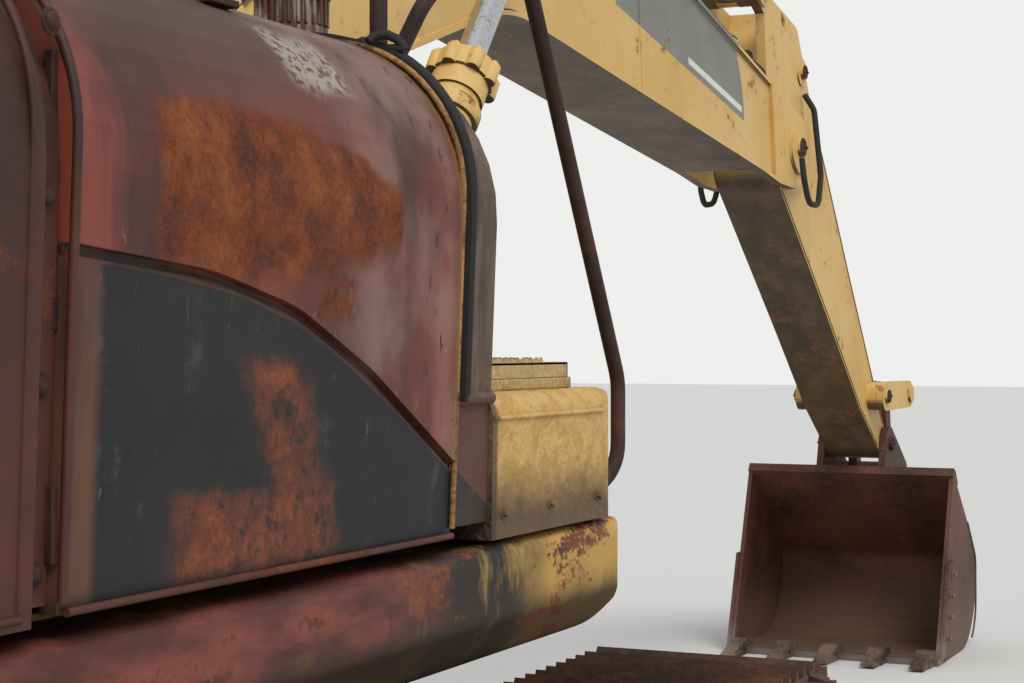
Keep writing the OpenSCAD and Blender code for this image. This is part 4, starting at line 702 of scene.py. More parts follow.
def spaced(path, step):
    """The path again with a point about every step."""
    out = [path[0]]
    for a, b in zip(path, path[1:]):
        parts = max(1, round((b - a).length / step))
        out += [a.lerp(b, k / parts) for k in range(1, parts + 1)]
    return out


def close_up(gap):
    """From edit mode: joins points nearer than the gap and turns the faces outwards."""
    bpy.ops.mesh.select_all(action="SELECT")
    bpy.ops.mesh.remove_doubles(threshold=gap)
    bpy.ops.mesh.normals_make_consistent(inside=False)
    bpy.ops.object.mode_set(mode="OBJECT")


def round_bar(name, points, radius, bend=0.0, sides=6, closed=False, ripple=0.0):
    """A tube along points, with each corner turned on a radius; ripple makes it swell like a weld."""
    path = turned_path(points, bend, closed)
    if ripple:
        path = spaced(path, radius * 1.6)
    clear_selection()
    bpy.ops.curve.primitive_bezier_curve_add(location=(0, 0, 0))
    curve = bpy.context.active_object.data
    curve.splines.clear()
    spline = curve.splines.new("POLY")
    spline.points.add(len(path) - 1)
    for i, (target, p) in enumerate(zip(spline.points, path)):
        target.co = (*p, 1)
        target.radius = 1.0 - ripple * (i % 2)
    spline.use_cyclic_u = closed
    curve.dimensions = "3D"
    curve.bevel_depth = radius
    curve.bevel_resolution = sides
    curve.use_fill_caps = True
    bpy.ops.object.convert(target="MESH")
    piece = newest(name)
    fix_place(piece)
    bpy.ops.object.mode_set(mode="EDIT")
    close_up(0.0002)
    smooth(piece, 45)
    return piece


def tube(name, points, *settings):
    """A round bar along points measured from the swing axis."""
    return round_bar(name, [machine(*p) for p in points], *settings)


def weld(name, points, radius=0.006, bend=0.0, closed=False):
    return round_bar(name, points, radius, bend, 2, closed, 0.28)


AXES = {"Z": (0, 0, 0), "Y": (-math.pi / 2, 0, 0), "-Y": (math.pi / 2, 0, 0), "X": (0, math.pi / 2, 0)}


def out_from(side):
    """The name of the axis that looks outwards on one side of the machine."""
    return "Y" if side > 0 else "-Y"


def turned(name, profile, at=(0, 0, 0), axis="Z", steps=32):
    """A solid of revolution: profile rows are (radius, height)."""
    clear_selection()
    bpy.ops.mesh.primitive_plane_add(size=1, location=(0, 0, 0))
    piece = newest(name)
    bpy.ops.object.mode_set(mode="EDIT")
    bpy.ops.mesh.select_all(action="SELECT")
    bpy.ops.mesh.delete(type="VERT")
    bpy.ops.object.mode_set(mode="OBJECT")
    mesh = piece.data
    mesh.vertices.add(len(profile))
    mesh.edges.add(len(profile) - 1)
    for vertex, (r, h) in zip(mesh.vertices, profile):
        vertex.co = (r, 0, h)
    for i, edge in enumerate(mesh.edges):
        edge.vertices = (i, i + 1)
    mesh.update()
    bpy.ops.object.mode_set(mode="EDIT")
    bpy.ops.mesh.select_all(action="SELECT")
    bpy.ops.mesh.spin(steps=steps, angle=math.tau, center=(0, 0, 0), axis=(0, 0, 1))
    close_up(0.00005)
    piece.rotation_euler = AXES[axis]
    piece.location = at
    fix_place(piece)
    smooth(piece)
    return piece


def merged(name, pieces):
    """Joins pieces into one, under the given name."""
    clear_selection()
    for piece in pieces:
        piece.select_set(True)
    bpy.context.view_layer.objects.active = pieces[0]
    if len(pieces) > 1:
        bpy.ops.object.join()
    return newest(name)


def aimed(at, direction, turn=0.0):
    """The place at a point with its Z along a direction."""
    lean = Vector(direction).to_track_quat("Z", "Y").to_matrix().to_4x4()
    return Matrix.Translation(at) @ lean @ Matrix.Rotation(turn, 4, "Z")


def stamped(name, piece, places):
    """One piece made of the given piece at each of the places."""
    made = [piece]
    for _ in places[1:]:
        pick(piece)
        bpy.ops.object.duplicate()
        made.append(bpy.context.active_object)
    for item, place in zip(made, places):
        item.matrix_world = place
    fix_place(made[0])
    return merged(name, made)


def hex_head(size):
    """A hexagon bolt head on its washer, standing on the ground plane."""
    clear_selection()
    middle = (0, 0, size * 0.75)
    bpy.ops.mesh.primitive_cylinder_add(vertices=6, radius=size, depth=size * 1.1, location=middle)
    head = newest("head")
    fix_place(head)
    add_modifier(head, "BEVEL", width=size * 0.14, segments=2, limit_method="ANGLE")
    rows = [(0, 0), (1.5, 0), (1.5, 0.2), (1.4, 0.28), (0, 0.28)]
    washer = turned("washer", [(r * size, h * size) for r, h in rows])
    return merged("bolt", [washer, head])


def dome_head(size):
    """A domed bolt head with a broad flange."""
    rim = [(0, 0), (1.25, 0), (1.25, 0.16), (1.1, 0.26)]
    steps = [math.radians(a) for a in (0, 25, 50, 70)]
    dome = [(0.92 * math.cos(a), 0.26 + 0.55 * math.sin(a)) for a in steps]
    rows = rim + dome + [(0, 0.81)]
    return turned("bolt", [(r * size, h * size) for r, h in rows], steps=24)


def bolts(name, spots, size=0.012, head=hex_head):
    """Bolt heads at spots, each a point and the direction it faces."""
    places = [aimed(at, facing, 0.35 * i) for i, (at, facing) in enumerate(spots)]
    return stamped(name, head(size), places)


def facing(direction, *points):
    """Spots for bolts at points measured from the swing axis."""
    return [(machine(*p), direction) for p in points]


def ring_of(centre, axis, radius, count, start=0.0):
    """Spots on a circle about an axis, all facing along it."""
    base = aimed(centre, axis)
    return [
        (base @ Vector((radius * math.cos(a), radius * math.sin(a), 0)), axis) for a in angles(count, start)
    ]


def cushion(name, size, place, crown=0.02, seams=(), edge=0.035):
    """A stuffed pad with a crowned face, rounded edges and sewn seams; its face looks along Z."""
    seam_depth, seam_width = 0.012, 0.009
    clear_selection()
    bpy.ops.mesh.primitive_cube_add(size=1, location=(0, 0, 0))
    pad = newest(name)
    pad.scale = size
    fix_place(pad)
    bpy.ops.object.mode_set(mode="EDIT")
    bpy.ops.mesh.select_all(action="SELECT")
    bpy.ops.mesh.subdivide(number_cuts=26)
    bpy.ops.object.mode_set(mode="OBJECT")
    half = Vector(size) / 2
    for v in pad.data.vertices:
        p = v.co
        core = Vector([max(-h + edge, min(h - edge, c)) for h, c in zip(half, p)])
        out = p - core
        if out.length > 0:
            p = core + out.normalized() * edge
        if p.z > 0:
            u, w = p.x / half.x, p.y / half.y
            p.z += crown * (1 - u * u) * (1 - w * w)
            for seam in seams:
                p.z -= seam_depth * math.exp(-(((p.x - seam) / seam_width) ** 2)) * (1 - w * w)
        v.co = p
    put(pad, place)
    smooth(pad, 60)
    x, y, z = half.x - edge * 0.6, half.y - edge * 0.6, half.z - edge * 0.28
    rim = [place @ Vector((a * x, b * y, z)) for a, b in ((-1, -1), (1, -1), (1, 1), (-1, 1))]
    return merged(name, [pad, round_bar(name + "_piping", rim, 0.0045, edge, 3, True)])


def cut(piece, tool):
    """Takes the tool out of the piece."""
    add_modifier(piece, "BOOLEAN", object=tool, operation="DIFFERENCE", solver="EXACT")
    pick(tool)
    bpy.ops.object.delete()
    return piece


# The housing's section: its wall leans outwards up to a rounded shoulder, and the roof rises inwards
SHOULDER = Vector((1.441, 2.318, 0))
RIDGE = Vector((0.9, 2.398, 0))
SHOULDER_R = 0.33
ROOF_SLOPE = 0.1479


def wall_y(z):
    """Distance of the housing's wall from the middle at a height."""
    return 1.405 + (z - 1.435) * 0.0408


def roof_z(y):
    """Height of the housing's roof at a distance from the middle."""
    return SHOULDER.y + (SHOULDER.x - y) * ROOF_SLOPE


def skin(inset, top, foot):
    """The housing's section from its foot over the shoulder to y = top: points (y, z), moved inwards."""
    low = Vector((wall_y(foot), foot, 0))
    path = [low] + corner_arc(low, SHOULDER, RIDGE, SHOULDER_R, 17)
    path.append(Vector((top, roof_z(top), 0)))
    out = []
    for i, p in enumerate(path):
        run = path[min(i + 1, len(path) - 1)] - path[max(i - 1, 0)]
        q = p - Vector((run.y, -run.x, 0)).normalized() * inset
        out.append((q.x, q.y))
    return out


def edge_line(x, inset, top=1.13, foot=1.46):
    """The housing's section as places at one x, on the right."""
    return [machine(x, -y, z) for y, z in skin(inset, top, foot)]


# The boom's and the stick's own places, as (x, z) in their side views
BOOM_LEN = 6.15
BOOM_EYE = (2.601, 1.0476)
STICK_FOOT = (3.329, 1.477)
STICK_EYE = (-0.795, 0.315)
BUCKET_FOOT = (-0.06, 0.48)
IDLER_PIN = (2.1, 0.03)
BOOM_CYL_FOOT = machine(1.13, 0, 1.27)
# The boom's top falls in a straight line over its outer half
CREST_X, CREST_Z, TIP_Z = 3.35, 1.292, 0.268
BOOM_FALL = (CREST_Z - TIP_Z) / (BOOM_LEN - 0.2 - CREST_X)
SIDES = ((-1, "right"), (1, "left"))


def pin_at(on, spot):
    """The middle of a pin, from its (x, z) in a side view."""
    return on(spot[0], 0, spot[1])


def boom_top(x, lift=0.0):
    """Height of the boom's top over its outer half, or of a line that runs over it."""
    return CREST_Z - (x - CREST_X) * BOOM_FALL + lift


# Settings


class StageSettings(bpy.types.PropertyGroup):
    lens: bpy.props.FloatProperty(
        name="Lens", description="Focal length of the camera", default=68.0, unit="CAMERA"
    )
    floor: bpy.props.FloatVectorProperty(
        name="Floor", description="Colour of the floor", subtype="COLOR", default=(0.62, 0.61, 0.59), size=3
    )
    key: bpy.props.FloatProperty(name="Key light", description="Strength of the main lamp", default=3.2)


class RailSettings(bpy.types.PropertyGroup):
    radius: bpy.props.FloatProperty(
        name="Tube radius", description="Radius of the handrail's tube", default=0.017, unit="LENGTH"
    )
    bend: bpy.props.FloatProperty(
        name="Bend radius", description="Radius of the handrail's bends", default=0.11, unit="LENGTH"
    )


class HoseSettings(bpy.types.PropertyGroup):
    radius: bpy.props.FloatProperty(
        name="Hose radius", description="Radius of the hydraulic hoses", default=0.015, unit="LENGTH"
    )


# Operators, one for each group of pieces


class EXC_OT_finishes(bpy.types.Operator):
    """Gives each solid its finish"""

    bl_idname = "exc.finishes"
    bl_label = "Finishes"

    def execute(self, context):
        make_finishes()
        for finish, names in NODE_FINISH.items():
            for name in names.split():
                materials = NODES[name].data.materials
                materials.clear()
                materials.append(FINISHES[finish])
        return {"FINISHED"}


class EXC_OT_handrail(bpy.types.Operator):
    """Bends the handrails on the right from smooth tube"""

    bl_idname = "exc.handrail"
    bl_label = "Handrails"

    def execute(self, context):
        r = context.scene.exc_rail.radius
        top, post_x, post_y = 2.86, 0.126, -1.23
        run = [(0.942, -1.27, 1.412), (0.942, -1.27, 1.45), (1.087, -1.33, 1.49), (1.087, -1.33, 1.712)]
        run += [(0.492, -1.29, top), (-0.42, -1.21, top), (-0.42, -1.21, 2.345)]
        rail = tube("front_rail", run, r, context.scene.exc_rail.bend)
        post = tube("post", [(post_x, post_y, 2.33), (post_x, post_y, top)], r)
        run = [(0.215, -1.18, 2.27), (0.235, -1.22, 2.36), (0.25, -1.255, 2.44), (0.43, -1.29, 2.62)]
        stay = tube("stay", run + [(0.607, -1.297, 2.66)], r * 0.95, 0.08)
        foot = slab("foot", (0.9, -1.31, 1.409), (0.98, -1.255, 1.419), 0.002)
        sole = slab("sole", (-0.46, -1.25, 2.338), (-0.38, -1.17, 2.35), 0.002)
        rows = [(0, 0), (r * 1.3, 0), (r * 1.3, 0.05), (0, 0.05)]
        joint = turned("joint", rows, machine(post_x, post_y, 2.775))
        spots = facing((0, 0, 1), (0.966, -1.3, 1.419), (0.912, -1.3, 1.419), (-0.445, -1.235, 2.35))
        pieces = [rail, post, stay, foot, sole, joint, bolts("rail_bolts", spots, 0.007)]
        hand_over(merged("front_handrail", pieces), "upper", "dark", "handrail_front")
        return {"FINISHED"}


class EXC_OT_cap(bpy.types.Operator):
    """Casts the ribbed filler cap"""

    bl_idname = "exc.cap"
    bl_label = "Filler cap"

    def execute(self, context):
        at = machine(0.195, -1.0, 2.376)
        rows = [(0.06, 0), (0.071, 0), (0.071, 0.03), (0.066, 0.034), (0.066, 0.084), (0.076, 0.088)]
        rows += [(0.076, 0.096), (0.069, 0.103), (0.03, 0.1035), (0.028, 0.098), (0, 0.098)]
        core = turned("cap_core", rows, at)
        rib = block("cap_rib", (0.063, -0.0035, 0.034), (0.0735, 0.0035, 0.088), 0.0018)
        places = [Matrix.Translation(at) @ Matrix.Rotation(a, 4, "Z") for a in angles(26)]
        ribs = stamped("cap_ribs", rib, places)
        grip = block("cap_grip", at + Vector((-0.05, -0.009, 0.0975)), at + Vector((0.05, 0.009, 0.1085)))
        hand_over(merged("ribbed_cap", [core, ribs, grip]), "upper", "cap", "filler_cap")
        circle = [at + Vector((0.078 * math.cos(a), 0.078 * math.sin(a), -0.002)) for a in angles(32)]
        hand_over(round_bar("cap_ring", circle, 0.006, 0, 3, True), "upper", "rubber")
        return {"FINISHED"}


class EXC_OT_door(bpy.types.Operator):
    """Adds the pump door's rolled edges, its peeled seal and its hinges, and the bolts on its pillar"""

    bl_idname = "exc.door"
    bl_label = "Pump door"

    def execute(self, context):
        front = round_bar("front_rim", edge_line(0.085, 0.003), 0.0055, 0, 4)
        rear = round_bar("rear_rim", edge_line(-1.034, 0.004), 0.007, 0, 4)
        sill = tube("sill_rim", [(-1.03, -1.405, 1.447), (0.08, -1.405, 1.447)], 0.006, 0, 4)
        hand_over(front, "pump_cover", "worn")
        hand_over(merged("door_rims", [rear, sill]), "pump_cover", "burnt")
        # The seal follows the door's edge; its top has come loose and curls up
        line = edge_line(0.104, -0.004, 1.30, 1.70)
        bulb = round_bar("seal_bulb", line, 0.011, 0, 5)
        fin = round_bar("seal_fin", edge_line(0.118, 0.008, foot=1.70), 0.007, 0, 4)
        curl = [(0.1, -1.284, 2.355), (0.094, -1.262, 2.366), (0.082, -1.245, 2.361), (0.072, -1.238, 2.35)]
        loose = round_bar("seal_loose", [line[-1]] + [machine(*p) for p in curl], 0.009, 0.02, 5)
        hand_over(merged("peeled_seal", [bulb, fin, loose]), "upper", "rubber")
        sunk = 0.0215
        points = [(-1.075, sunk - wall_y(z), z) for z in (1.50, 1.74, 1.98, 2.2)]
        hand_over(bolts("pillar_bolts", facing((0, -1, 0.04), *points), 0.0145, dome_head), "upper", "dark")
        # Hinges stand behind the pillar's edge
        leaves = []
        for z in (1.56, 1.86, 2.12):
            leaves.append(slab("leaf", (-1.052, -1.40, z - 0.05), (-1.03, -1.385, z + 0.05), 0.002))
        hand_over(merged("door_hinges", leaves), "upper", "dark")
        return {"FINISHED"}


class EXC_OT_box(bpy.types.Operator):
    """Adds the perforated tread plates and the lid's seam, handle and bolts of the tool box"""

    bl_idname = "exc.box"
    bl_label = "Tool box and treads"

    def execute(self, context):
        x0, x1, y0, y1, z = 0.276, 0.801, -1.335, -0.79, 1.7
        end, wall, rise, sheet = x1 - 0.02, 0.006, z + 0.024, z + 0.056
        low = slab("tread_base", (x0, y0, z), (x1, y1, rise))
        plate = slab("tread_plate", (x0, y0, z + 0.05), (end, y1, sheet), 0.001, 1)
        places = [
            Matrix.Translation(machine(x0 + 0.04 + i * 0.068, y0 + 0.055 + j * 0.072, sheet))
            for i in range(7)
            for j in range(7)
        ]
        hole = turned("hole", [(0, -0.02), (0.016, -0.02), (0.016, 0.02), (0, 0.02)], steps=16)
        plate = cut(plate, stamped("holes", hole, places))
        rows = [(0.0165, -0.003), (0.021, 0), (0.019, 0.0055), (0.0165, 0.007), (0.0155, 0.005)]
        rows.append(rows[0])
        collar = turned("collar", rows, steps=16)
        tooth = block("tooth", (0.0155, -0.0022, 0.004), (0.0195, 0.0022, 0.0098), 0)
        crown = stamped("teeth", tooth, [Matrix.Rotation(a, 4, "Z") for a in angles(8)])
        studs = stamped("studs", merged("stud", [collar, crown]), places)
        corners = [
            ((x0, y0), (end, y0 + wall)),
            ((x0, y1 - wall), (end, y1)),
            ((end - wall, y0), (end, y1)),
            ((x0, y0), (x0 + wall, y1)),
        ]
        rails = [slab("tread_edge", (*a, rise), (*b, sheet), 0.001, 1) for a, b in corners]
        piece = merged("tread_plates_punched", [low, plate, studs] + rails)
        hand_over(piece, "upper", "tread", "tread_plates")
        z = 1.652
        seam = tube("lid_seam", [(0.272, -1.399, z), (0.84, -1.399, z), (0.889, -1.33, z), (0.892, -0.75, z)],
                    0.005, 0.06, 3)
        run = [(0.886, -1.12, 1.60), (0.912, -1.12, 1.60), (0.912, -1.0, 1.60), (0.886, -1.0, 1.60)]
        handle = tube("lid_handle", run, 0.006, 0.012, 4)
        spots = facing((0, -1, 0), *[(x, -1.3955, 1.47) for x in (0.32, 0.55, 0.8)])
        spots += facing((1, 0, 0), *[(0.902, y, 1.49) for y in (-1.28, -0.8)])
        heads = bolts("box_bolts", spots, 0.009)
        hand_over(merged("box_fittings", [seam, handle, heads]), "upper", "crinkled")
        return {"FINISHED"}


class EXC_OT_pipes(bpy.types.Operator):
    """Runs the oil lines over the boom and the stick, with clamps and hose loops"""

    bl_idname = "exc.pipes"
    bl_label = "Oil lines"

    def execute(self, context):
        r = context.scene.exc_hose.radius
        hoses = self.run_boom_lines(r)
        self.hang_loops(r, hoses)
        self.run_stick_lines(r)
        return {"FINISHED"}

    def run_boom_lines(self, r):
        """Lines over the boom with their nuts and clamps; gives back the hoses at both ends."""
        tubes, hoses, clamps, spots = [], [], [], []
        lift = 0.034
        start, end = (0.6, 0.47), BOOM_LEN - 0.6
        slope = 0.478
        for side, _ in SIDES:
            for lane in (0.17, 0.122):
                y = side * lane

                def at(x, wide=1.0, z=None):
                    return on_boom(x, y * wide, boom_top(x, lift) if z is None else z)

                run = [start, (2.43, 1.345), (2.64, 1.424), (2.9, 1.42), (3.35, 1.326)]
                tubes.append(round_bar("pipe", [at(a, z=b) for a, b in run] + [at(end)], r, 0.3))
                ends = [
                    (at(end - 0.03), at(end + 0.1) - at(end)),
                    (at(start[0], z=start[1]), on_boom(0, 0, 0) - on_boom(1, 0, 0.48)),
                ]
                for place, along in ends:
                    tubes.append(stamped("nut", hex_head(r * 1.5), [aimed(place, along)]))
                # Hoses down to the foot, and on to the nose
                down = [(0.6, 1, 0.47), (0.3, 1, 0.39), (-0.04, 0.9, 0.33), (-0.24, 0.8, 0.12)]
                down.append((-0.26, 0.7, -0.02))
                hoses.append(round_bar("foot_hose", [at(*p) for p in down], r * 1.15, 0.14))
                ahead = [(end,), (end + 0.2, 1, boom_top(end + 0.2, 0.05)), (end + 0.3, 0.9, 0.33)]
                ahead.append((end + 0.24, 0.8, 0.2))
                hoses.append(round_bar("nose_hose", [at(*p) for p in ahead], r * 1.15, 0.08))
            clamps += [(x, side, start[1] + (x - start[0]) * slope, -0.4458) for x in (1.1, 1.9)]
            clamps += [(x, side, boom_top(x, lift), math.atan(BOOM_FALL)) for x in (3.76, 4.5, 5.3)]
        shoes = []
        for x, side, z, fall in clamps:
            place = Matrix.Translation(on_boom(x, side * 0.146, z)) @ Matrix.Rotation(fall - BOOM_TURN, 4, "Y")
            for low, high in ((-0.033, -0.002), (0.002, 0.024)):
                half = block("clamp_half", (-0.025, -0.053, low), (0.025, 0.053, high), 0.003, 1)
                shoes.append(put(half, place))
            spots.append((place @ Vector((0, 0, 0.024)), place.to_3x3() @ Vector((0, 0, 1))))
        heads = bolts("clamp_bolts", spots, 0.008)
        hand_over(merged("boom_lines", tubes), "boom_arm", "pipe", "boom_pipes")
        hand_over(merged("boom_clamps", shoes + [heads]), "boom_arm", "arm")
        return hoses

    def hang_loops(self, r, hoses):
        """The loops beside the stick's pin."""
        right = [(6.27, -0.262, 2.72), (6.26, -0.275, 2.62), (6.33, -0.28, 2.50), (6.50, -0.28, 2.50)]
        right += [(6.585, -0.27, 2.66), (6.60, -0.23, 3.0), (6.60, -0.18, 3.08)]
        left = [(6.30, 0.262, 2.72), (6.28, 0.275, 2.60), (6.36, 0.28, 2.51), (6.52, 0.28, 2.53)]
        left += [(6.58, 0.27, 2.68), (6.60, 0.23, 3.0), (6.60, 0.18, 3.08)]
        loops = [tube("loop", run, r, 0.09) for run in (right, left)]
        hand_over(merged("boom_hoses", hoses), "boom_arm", "rubber")
        hand_over(merged("nose_loops", loops), "stick_arm", "rubber")

    def run_stick_lines(self, r):
        """Lines on the stick's flange up to the bucket cylinder."""
        lines = []
        for k, y in enumerate((-0.128, -0.098)):
            run = [(0.5, 0.425), (0.84, 0.345), (1.24, 0.276), (1.4, 0.25), (1.56, 0.26 + 0.05 * k)]
            lines.append(round_bar("stick_pipe", [on_stick(a, y, b + 0.02) for a, b in run], r * 0.8, 0.12))
        away = on_stick(0.17, 0, 1) - on_stick(0, 0, 0)
        spots = [(on_stick(x, -0.113, 0.361 - (x - 0.47) * 0.19 + 0.062), away) for x in (0.84, 1.24, 1.4)]
        hand_over(merged("stick_lines", lines), "stick_arm", "pipe")
        hand_over(bolts("stick_clamp_bolts", spots, 0.009), "stick_arm", "dark")


def cylinder_fittings(name, foot, eye, length, radius, gland, rod):
    """Gland lobes and bolts, collar, wiper, bands and weld of one cylinder that lies from foot to eye."""
    along = (eye - foot).normalized()

    def place(d):
        return aimed(foot + along * d, along)

    rows = [(0, 0), (0.021, 0), (0.024, 0.006), (0.024, 0.066), (0.02, 0.072), (0, 0.072)]
    lobe = turned("lobe", rows, steps=16)
    turns = [
        place(length - 0.084) @ Matrix.Rotation(a, 4, "Z") @ Matrix.Translation((gland - 0.006, 0, 0))
        for a in angles(8)
    ]
    made = [stamped("lobes", lobe, turns)]
    made.append(bolts("gland_bolts", [(m @ Vector((0, 0, 0.072)), along) for m in turns], 0.011))
    collar = [(-0.004, 0), (0.012, 0.004), (0.016, 0.012), (0.016, 0.05), (0.01, 0.058), (-0.004, 0.062)]
    wiper = [(-0.003, 0), (0.012, 0), (0.01, 0.012), (-0.003, 0.014)]
    band = [(-0.004, 0), (0.005, 0.001), (0.005, 0.035), (-0.004, 0.036)]
    sleeves = [(collar, radius, length - 0.235), (wiper, rod, length)]
    sleeves += [(band, radius, d) for d in (0.32, length - 0.33)]
    for rows, inside, d in sleeves:
        made.append(put(turned("sleeve", [(inside + a, b) for a, b in rows]), place(d)))
    reach = radius * 0.96
    circle = [place(0.162) @ Vector((reach * math.cos(a), reach * math.sin(a), 0)) for a in angles(40)]
    made.append(weld(name + "_weld", circle, 0.006, 0, True))
    return merged(name, made)


class EXC_OT_cylinders(bpy.types.Operator):
    """Adds glands, bands and oil lines to the hydraulic cylinders"""

    bl_idname = "exc.cylinders"
    bl_label = "Cylinders"

    def execute(self, context):
        r = context.scene.exc_hose.radius * 0.75
        foot, eye = BOOM_CYL_FOOT, pin_at(on_boom, BOOM_EYE)
        along = (eye - foot).normalized()
        up = Vector((-along.z, 0, along.x))
        for side, label in SIDES:
            y = Vector((0, side * 0.4, 0))
            piece = cylinder_fittings("boom_gland_" + label, foot + y, eye + y, 1.74, 0.08, 0.098, 0.045)
            hand_over(piece, "boom_barrel", "cylinder")
            run = [(0.3, 0.078), (0.3, 0.12), (1.50, 0.12), (1.50, 0.086)]
            line = round_bar("line", [foot + y + along * d + up * h for d, h in run], r, 0.03)
            hand_over(line, "boom_barrel", "pipe")
        foot, eye = pin_at(on_boom, STICK_FOOT), pin_at(on_stick, STICK_EYE)
        barrel = (eye - foot).length - 0.428
        # Label, body, foot, rod eye, barrel length, and radii of the barrel, the gland and the rod
        rows = [
            ("stick_gland", "stick_cylinder", foot, eye, barrel, 0.086, 0.102, 0.048),
            ("bucket_gland", "bucket_cylinder", pin_at(on_stick, BUCKET_FOOT), KNEE, 1.72, 0.076, 0.09, 0.042),
        ]
        for label, body, foot, eye, length, *radii in rows:
            hand_over(cylinder_fittings(label, foot, eye, length, *radii), body, "cylinder")
            along = (eye - foot).normalized()
            up = Vector((-along.z, 0, along.x))
            lines = []
            for k, far in ((-1, 0.7), (1, length - 0.26)):
                off = Vector((0, 0.05 * k, 0)) + up * (radii[0] * 0.75)
                run = [(0.3, off * 0.9), (0.3, off + up * 0.05), (far, off + up * 0.05), (far, off * 0.9)]
                lines.append(round_bar("line", [foot + along * d + out for d, out in run], r, 0.025))
            hand_over(merged(label + "_lines", lines), body, "pipe")
        return {"FINISHED"}


def boom_side(inset):
    """The boom's outline in its side view, moved inwards: points (x, z) of the belly, then of the top."""
    belly = [(0.36, -0.078), (1.965, 0.565), (2.78, 0.7), (5.56, -0.066)]
    top = [(0.36, 0.322), (2.697, 1.439), (CREST_X, CREST_Z), (5.74, boom_top(5.74))]
    lines = []
    for run, up in ((belly, 1), (top, -1)):
        path = turned_path([Vector((a, 0, b)) for a, b in run], 0.6)
        moved = []
        for i, p in enumerate(path):
            along = (path[min(i + 1, len(path) - 1)] - path[max(i - 1, 0)]).normalized()
            moved.append(p + Vector((-along.z, 0, along.x)) * inset * up)
        lines.append([(p.x, p.z) for p in moved])
    return lines


def side_bead(on, y, run, radius, bend=0.0):
    """A weld bead through places (x, z) of a side view."""
    return weld("bead", [on(a, y, b) for a, b in run], radius, bend)


def ring_bead(on, y, centre, across, radius, count=44):
    """A weld bead round a boss in a side view."""
    x, z = centre
    points = [on(x + across * math.cos(a), y, z + across * math.sin(a)) for a in angles(count)]
    return weld("bead", points, radius, 0, True)


class EXC_OT_welds(bpy.types.Operator):
    """Lays weld beads along the boom's flanges, its bosses and the stick"""

    bl_idname = "exc.welds"
    bl_label = "Weld beads"

    def execute(self, context):
        beads = []
        for side, _ in SIDES:
            web, boss = side * 0.1995, side * 0.2165
            beads += [side_bead(on_boom, side * 0.199, run, 0.0065) for run in boom_side(0.0175)]
            beads.append(ring_bead(on_boom, boss, BOOM_EYE, 0.121, 0.007))
            beads.append(ring_bead(on_boom, boss, (BOOM_LEN, 0), 0.131, 0.006))
            # Seam where the cast nose meets the plates
            beads.append(side_bead(on_boom, side * 0.2155, [(5.765, 0.335), (5.765, -0.10)], 0.005))
            # Seams between the side plates
            high = boom_top(4.05)
            beads.append(side_bead(on_boom, web, [(2.15, 0.62), (2.17, 1.16)], 0.005))
            beads.append(side_bead(on_boom, web, [(4.05, high - 0.62), (4.07, high - 0.03)], 0.005))
        hand_over(merged("boom_welds", beads), "boom_arm", "arm")
        beads = []
        low = [(0.06, -0.222), (1.2, -0.168), (1.97, -0.146), (2.42, -0.085)]
        high = [(0.47, 0.42), (1.27, 0.278), (2.06, 0.15), (2.44, 0.085)]
        for side, _ in SIDES:
            y = side * 0.1605
            beads += [side_bead(on_stick, y, run, 0.0055, 0.2) for run in (low, high)]
            beads.append(ring_bead(on_stick, y, STICK_EYE, 0.096, 0.006, 40))
        hand_over(merged("stick_welds", beads), "stick_arm", "stick")
        return {"FINISHED"}


def pin_cap(at, side, radius):
    """A pin's end plate with its bolts and grease nipple, facing outwards."""
    axis, look = (0, side, 0), out_from(side)
    rows = [(0, 0), (radius, 0), (radius, 0.006), (radius - 0.004, 0.009), (radius * 0.35, 0.009)]
    plate = turned("plate", rows + [(radius * 0.3, 0.004), (0, 0.004)], at, look)
    spots = [(p + Vector((0, side * 0.008, 0)), axis) for p, _ in ring_of(at, axis, radius * 0.66, 3)]
    rows = [(0, 0), (0.006, 0), (0.006, 0.006), (0.0035, 0.009), (0.004, 0.014), (0, 0.015)]
    nipple = turned("nipple", rows, at + Vector((0, side * 0.004, 0)), look, 12)
    return merged("cap", [plate, bolts("pin_bolts", spots, radius * 0.15), nipple])


class EXC_OT_pins(bpy.types.Operator):
    """Closes the arm's pins with bolted plates and grease nipples"""

    bl_idname = "exc.pins"
    bl_label = "Pins"

    def execute(self, context):
        # Body, pin, distance of its ends from the middle, and radius of their plates
        rows = [
            ("upper", FOOT, 0.367, 0.056),
            ("upper", BOOM_CYL_FOOT, 0.513, 0.038),
            ("boom_arm", pin_at(on_boom, (BOOM_LEN, 0)), 0.243, 0.048),
            ("boom_arm", pin_at(on_boom, STICK_FOOT), 0.118, 0.04),
            ("stick_arm", pin_at(on_stick, STICK_EYE), 0.186, 0.052),
            ("stick_arm", pin_at(on_stick, BUCKET_FOOT), 0.18, 0.036),
            ("stick_arm", pin_at(on_stick, IDLER_PIN), 0.2735, 0.038),
            ("bucket", BUCKET_PIN, 0.2175, 0.04),
        ]
        for i, (body, at, reach, radius) in enumerate(rows):
            pair = [pin_cap(at + Vector((0, side * reach, 0)), side, radius) for side, _ in SIDES]
            hand_over(merged("pin_caps_%d" % i, pair), body, "dark")
        return {"FINISHED"}


# The tracks, in metres: half the gauge, half the tumblers' distance, and the height of their axles
HALF_GAUGE, HALF_BASE, AXLE_Z = 1.295, 1.725, 0.49
SHOES = 49
SHOE_T, LINK_LOW = 0.012, 0.052
PITCH_R = AXLE_Z - 0.026 - SHOE_T - LINK_LOW
LOOP = 4 * HALF_BASE + math.tau * PITCH_R
PITCH = LOOP / SHOES


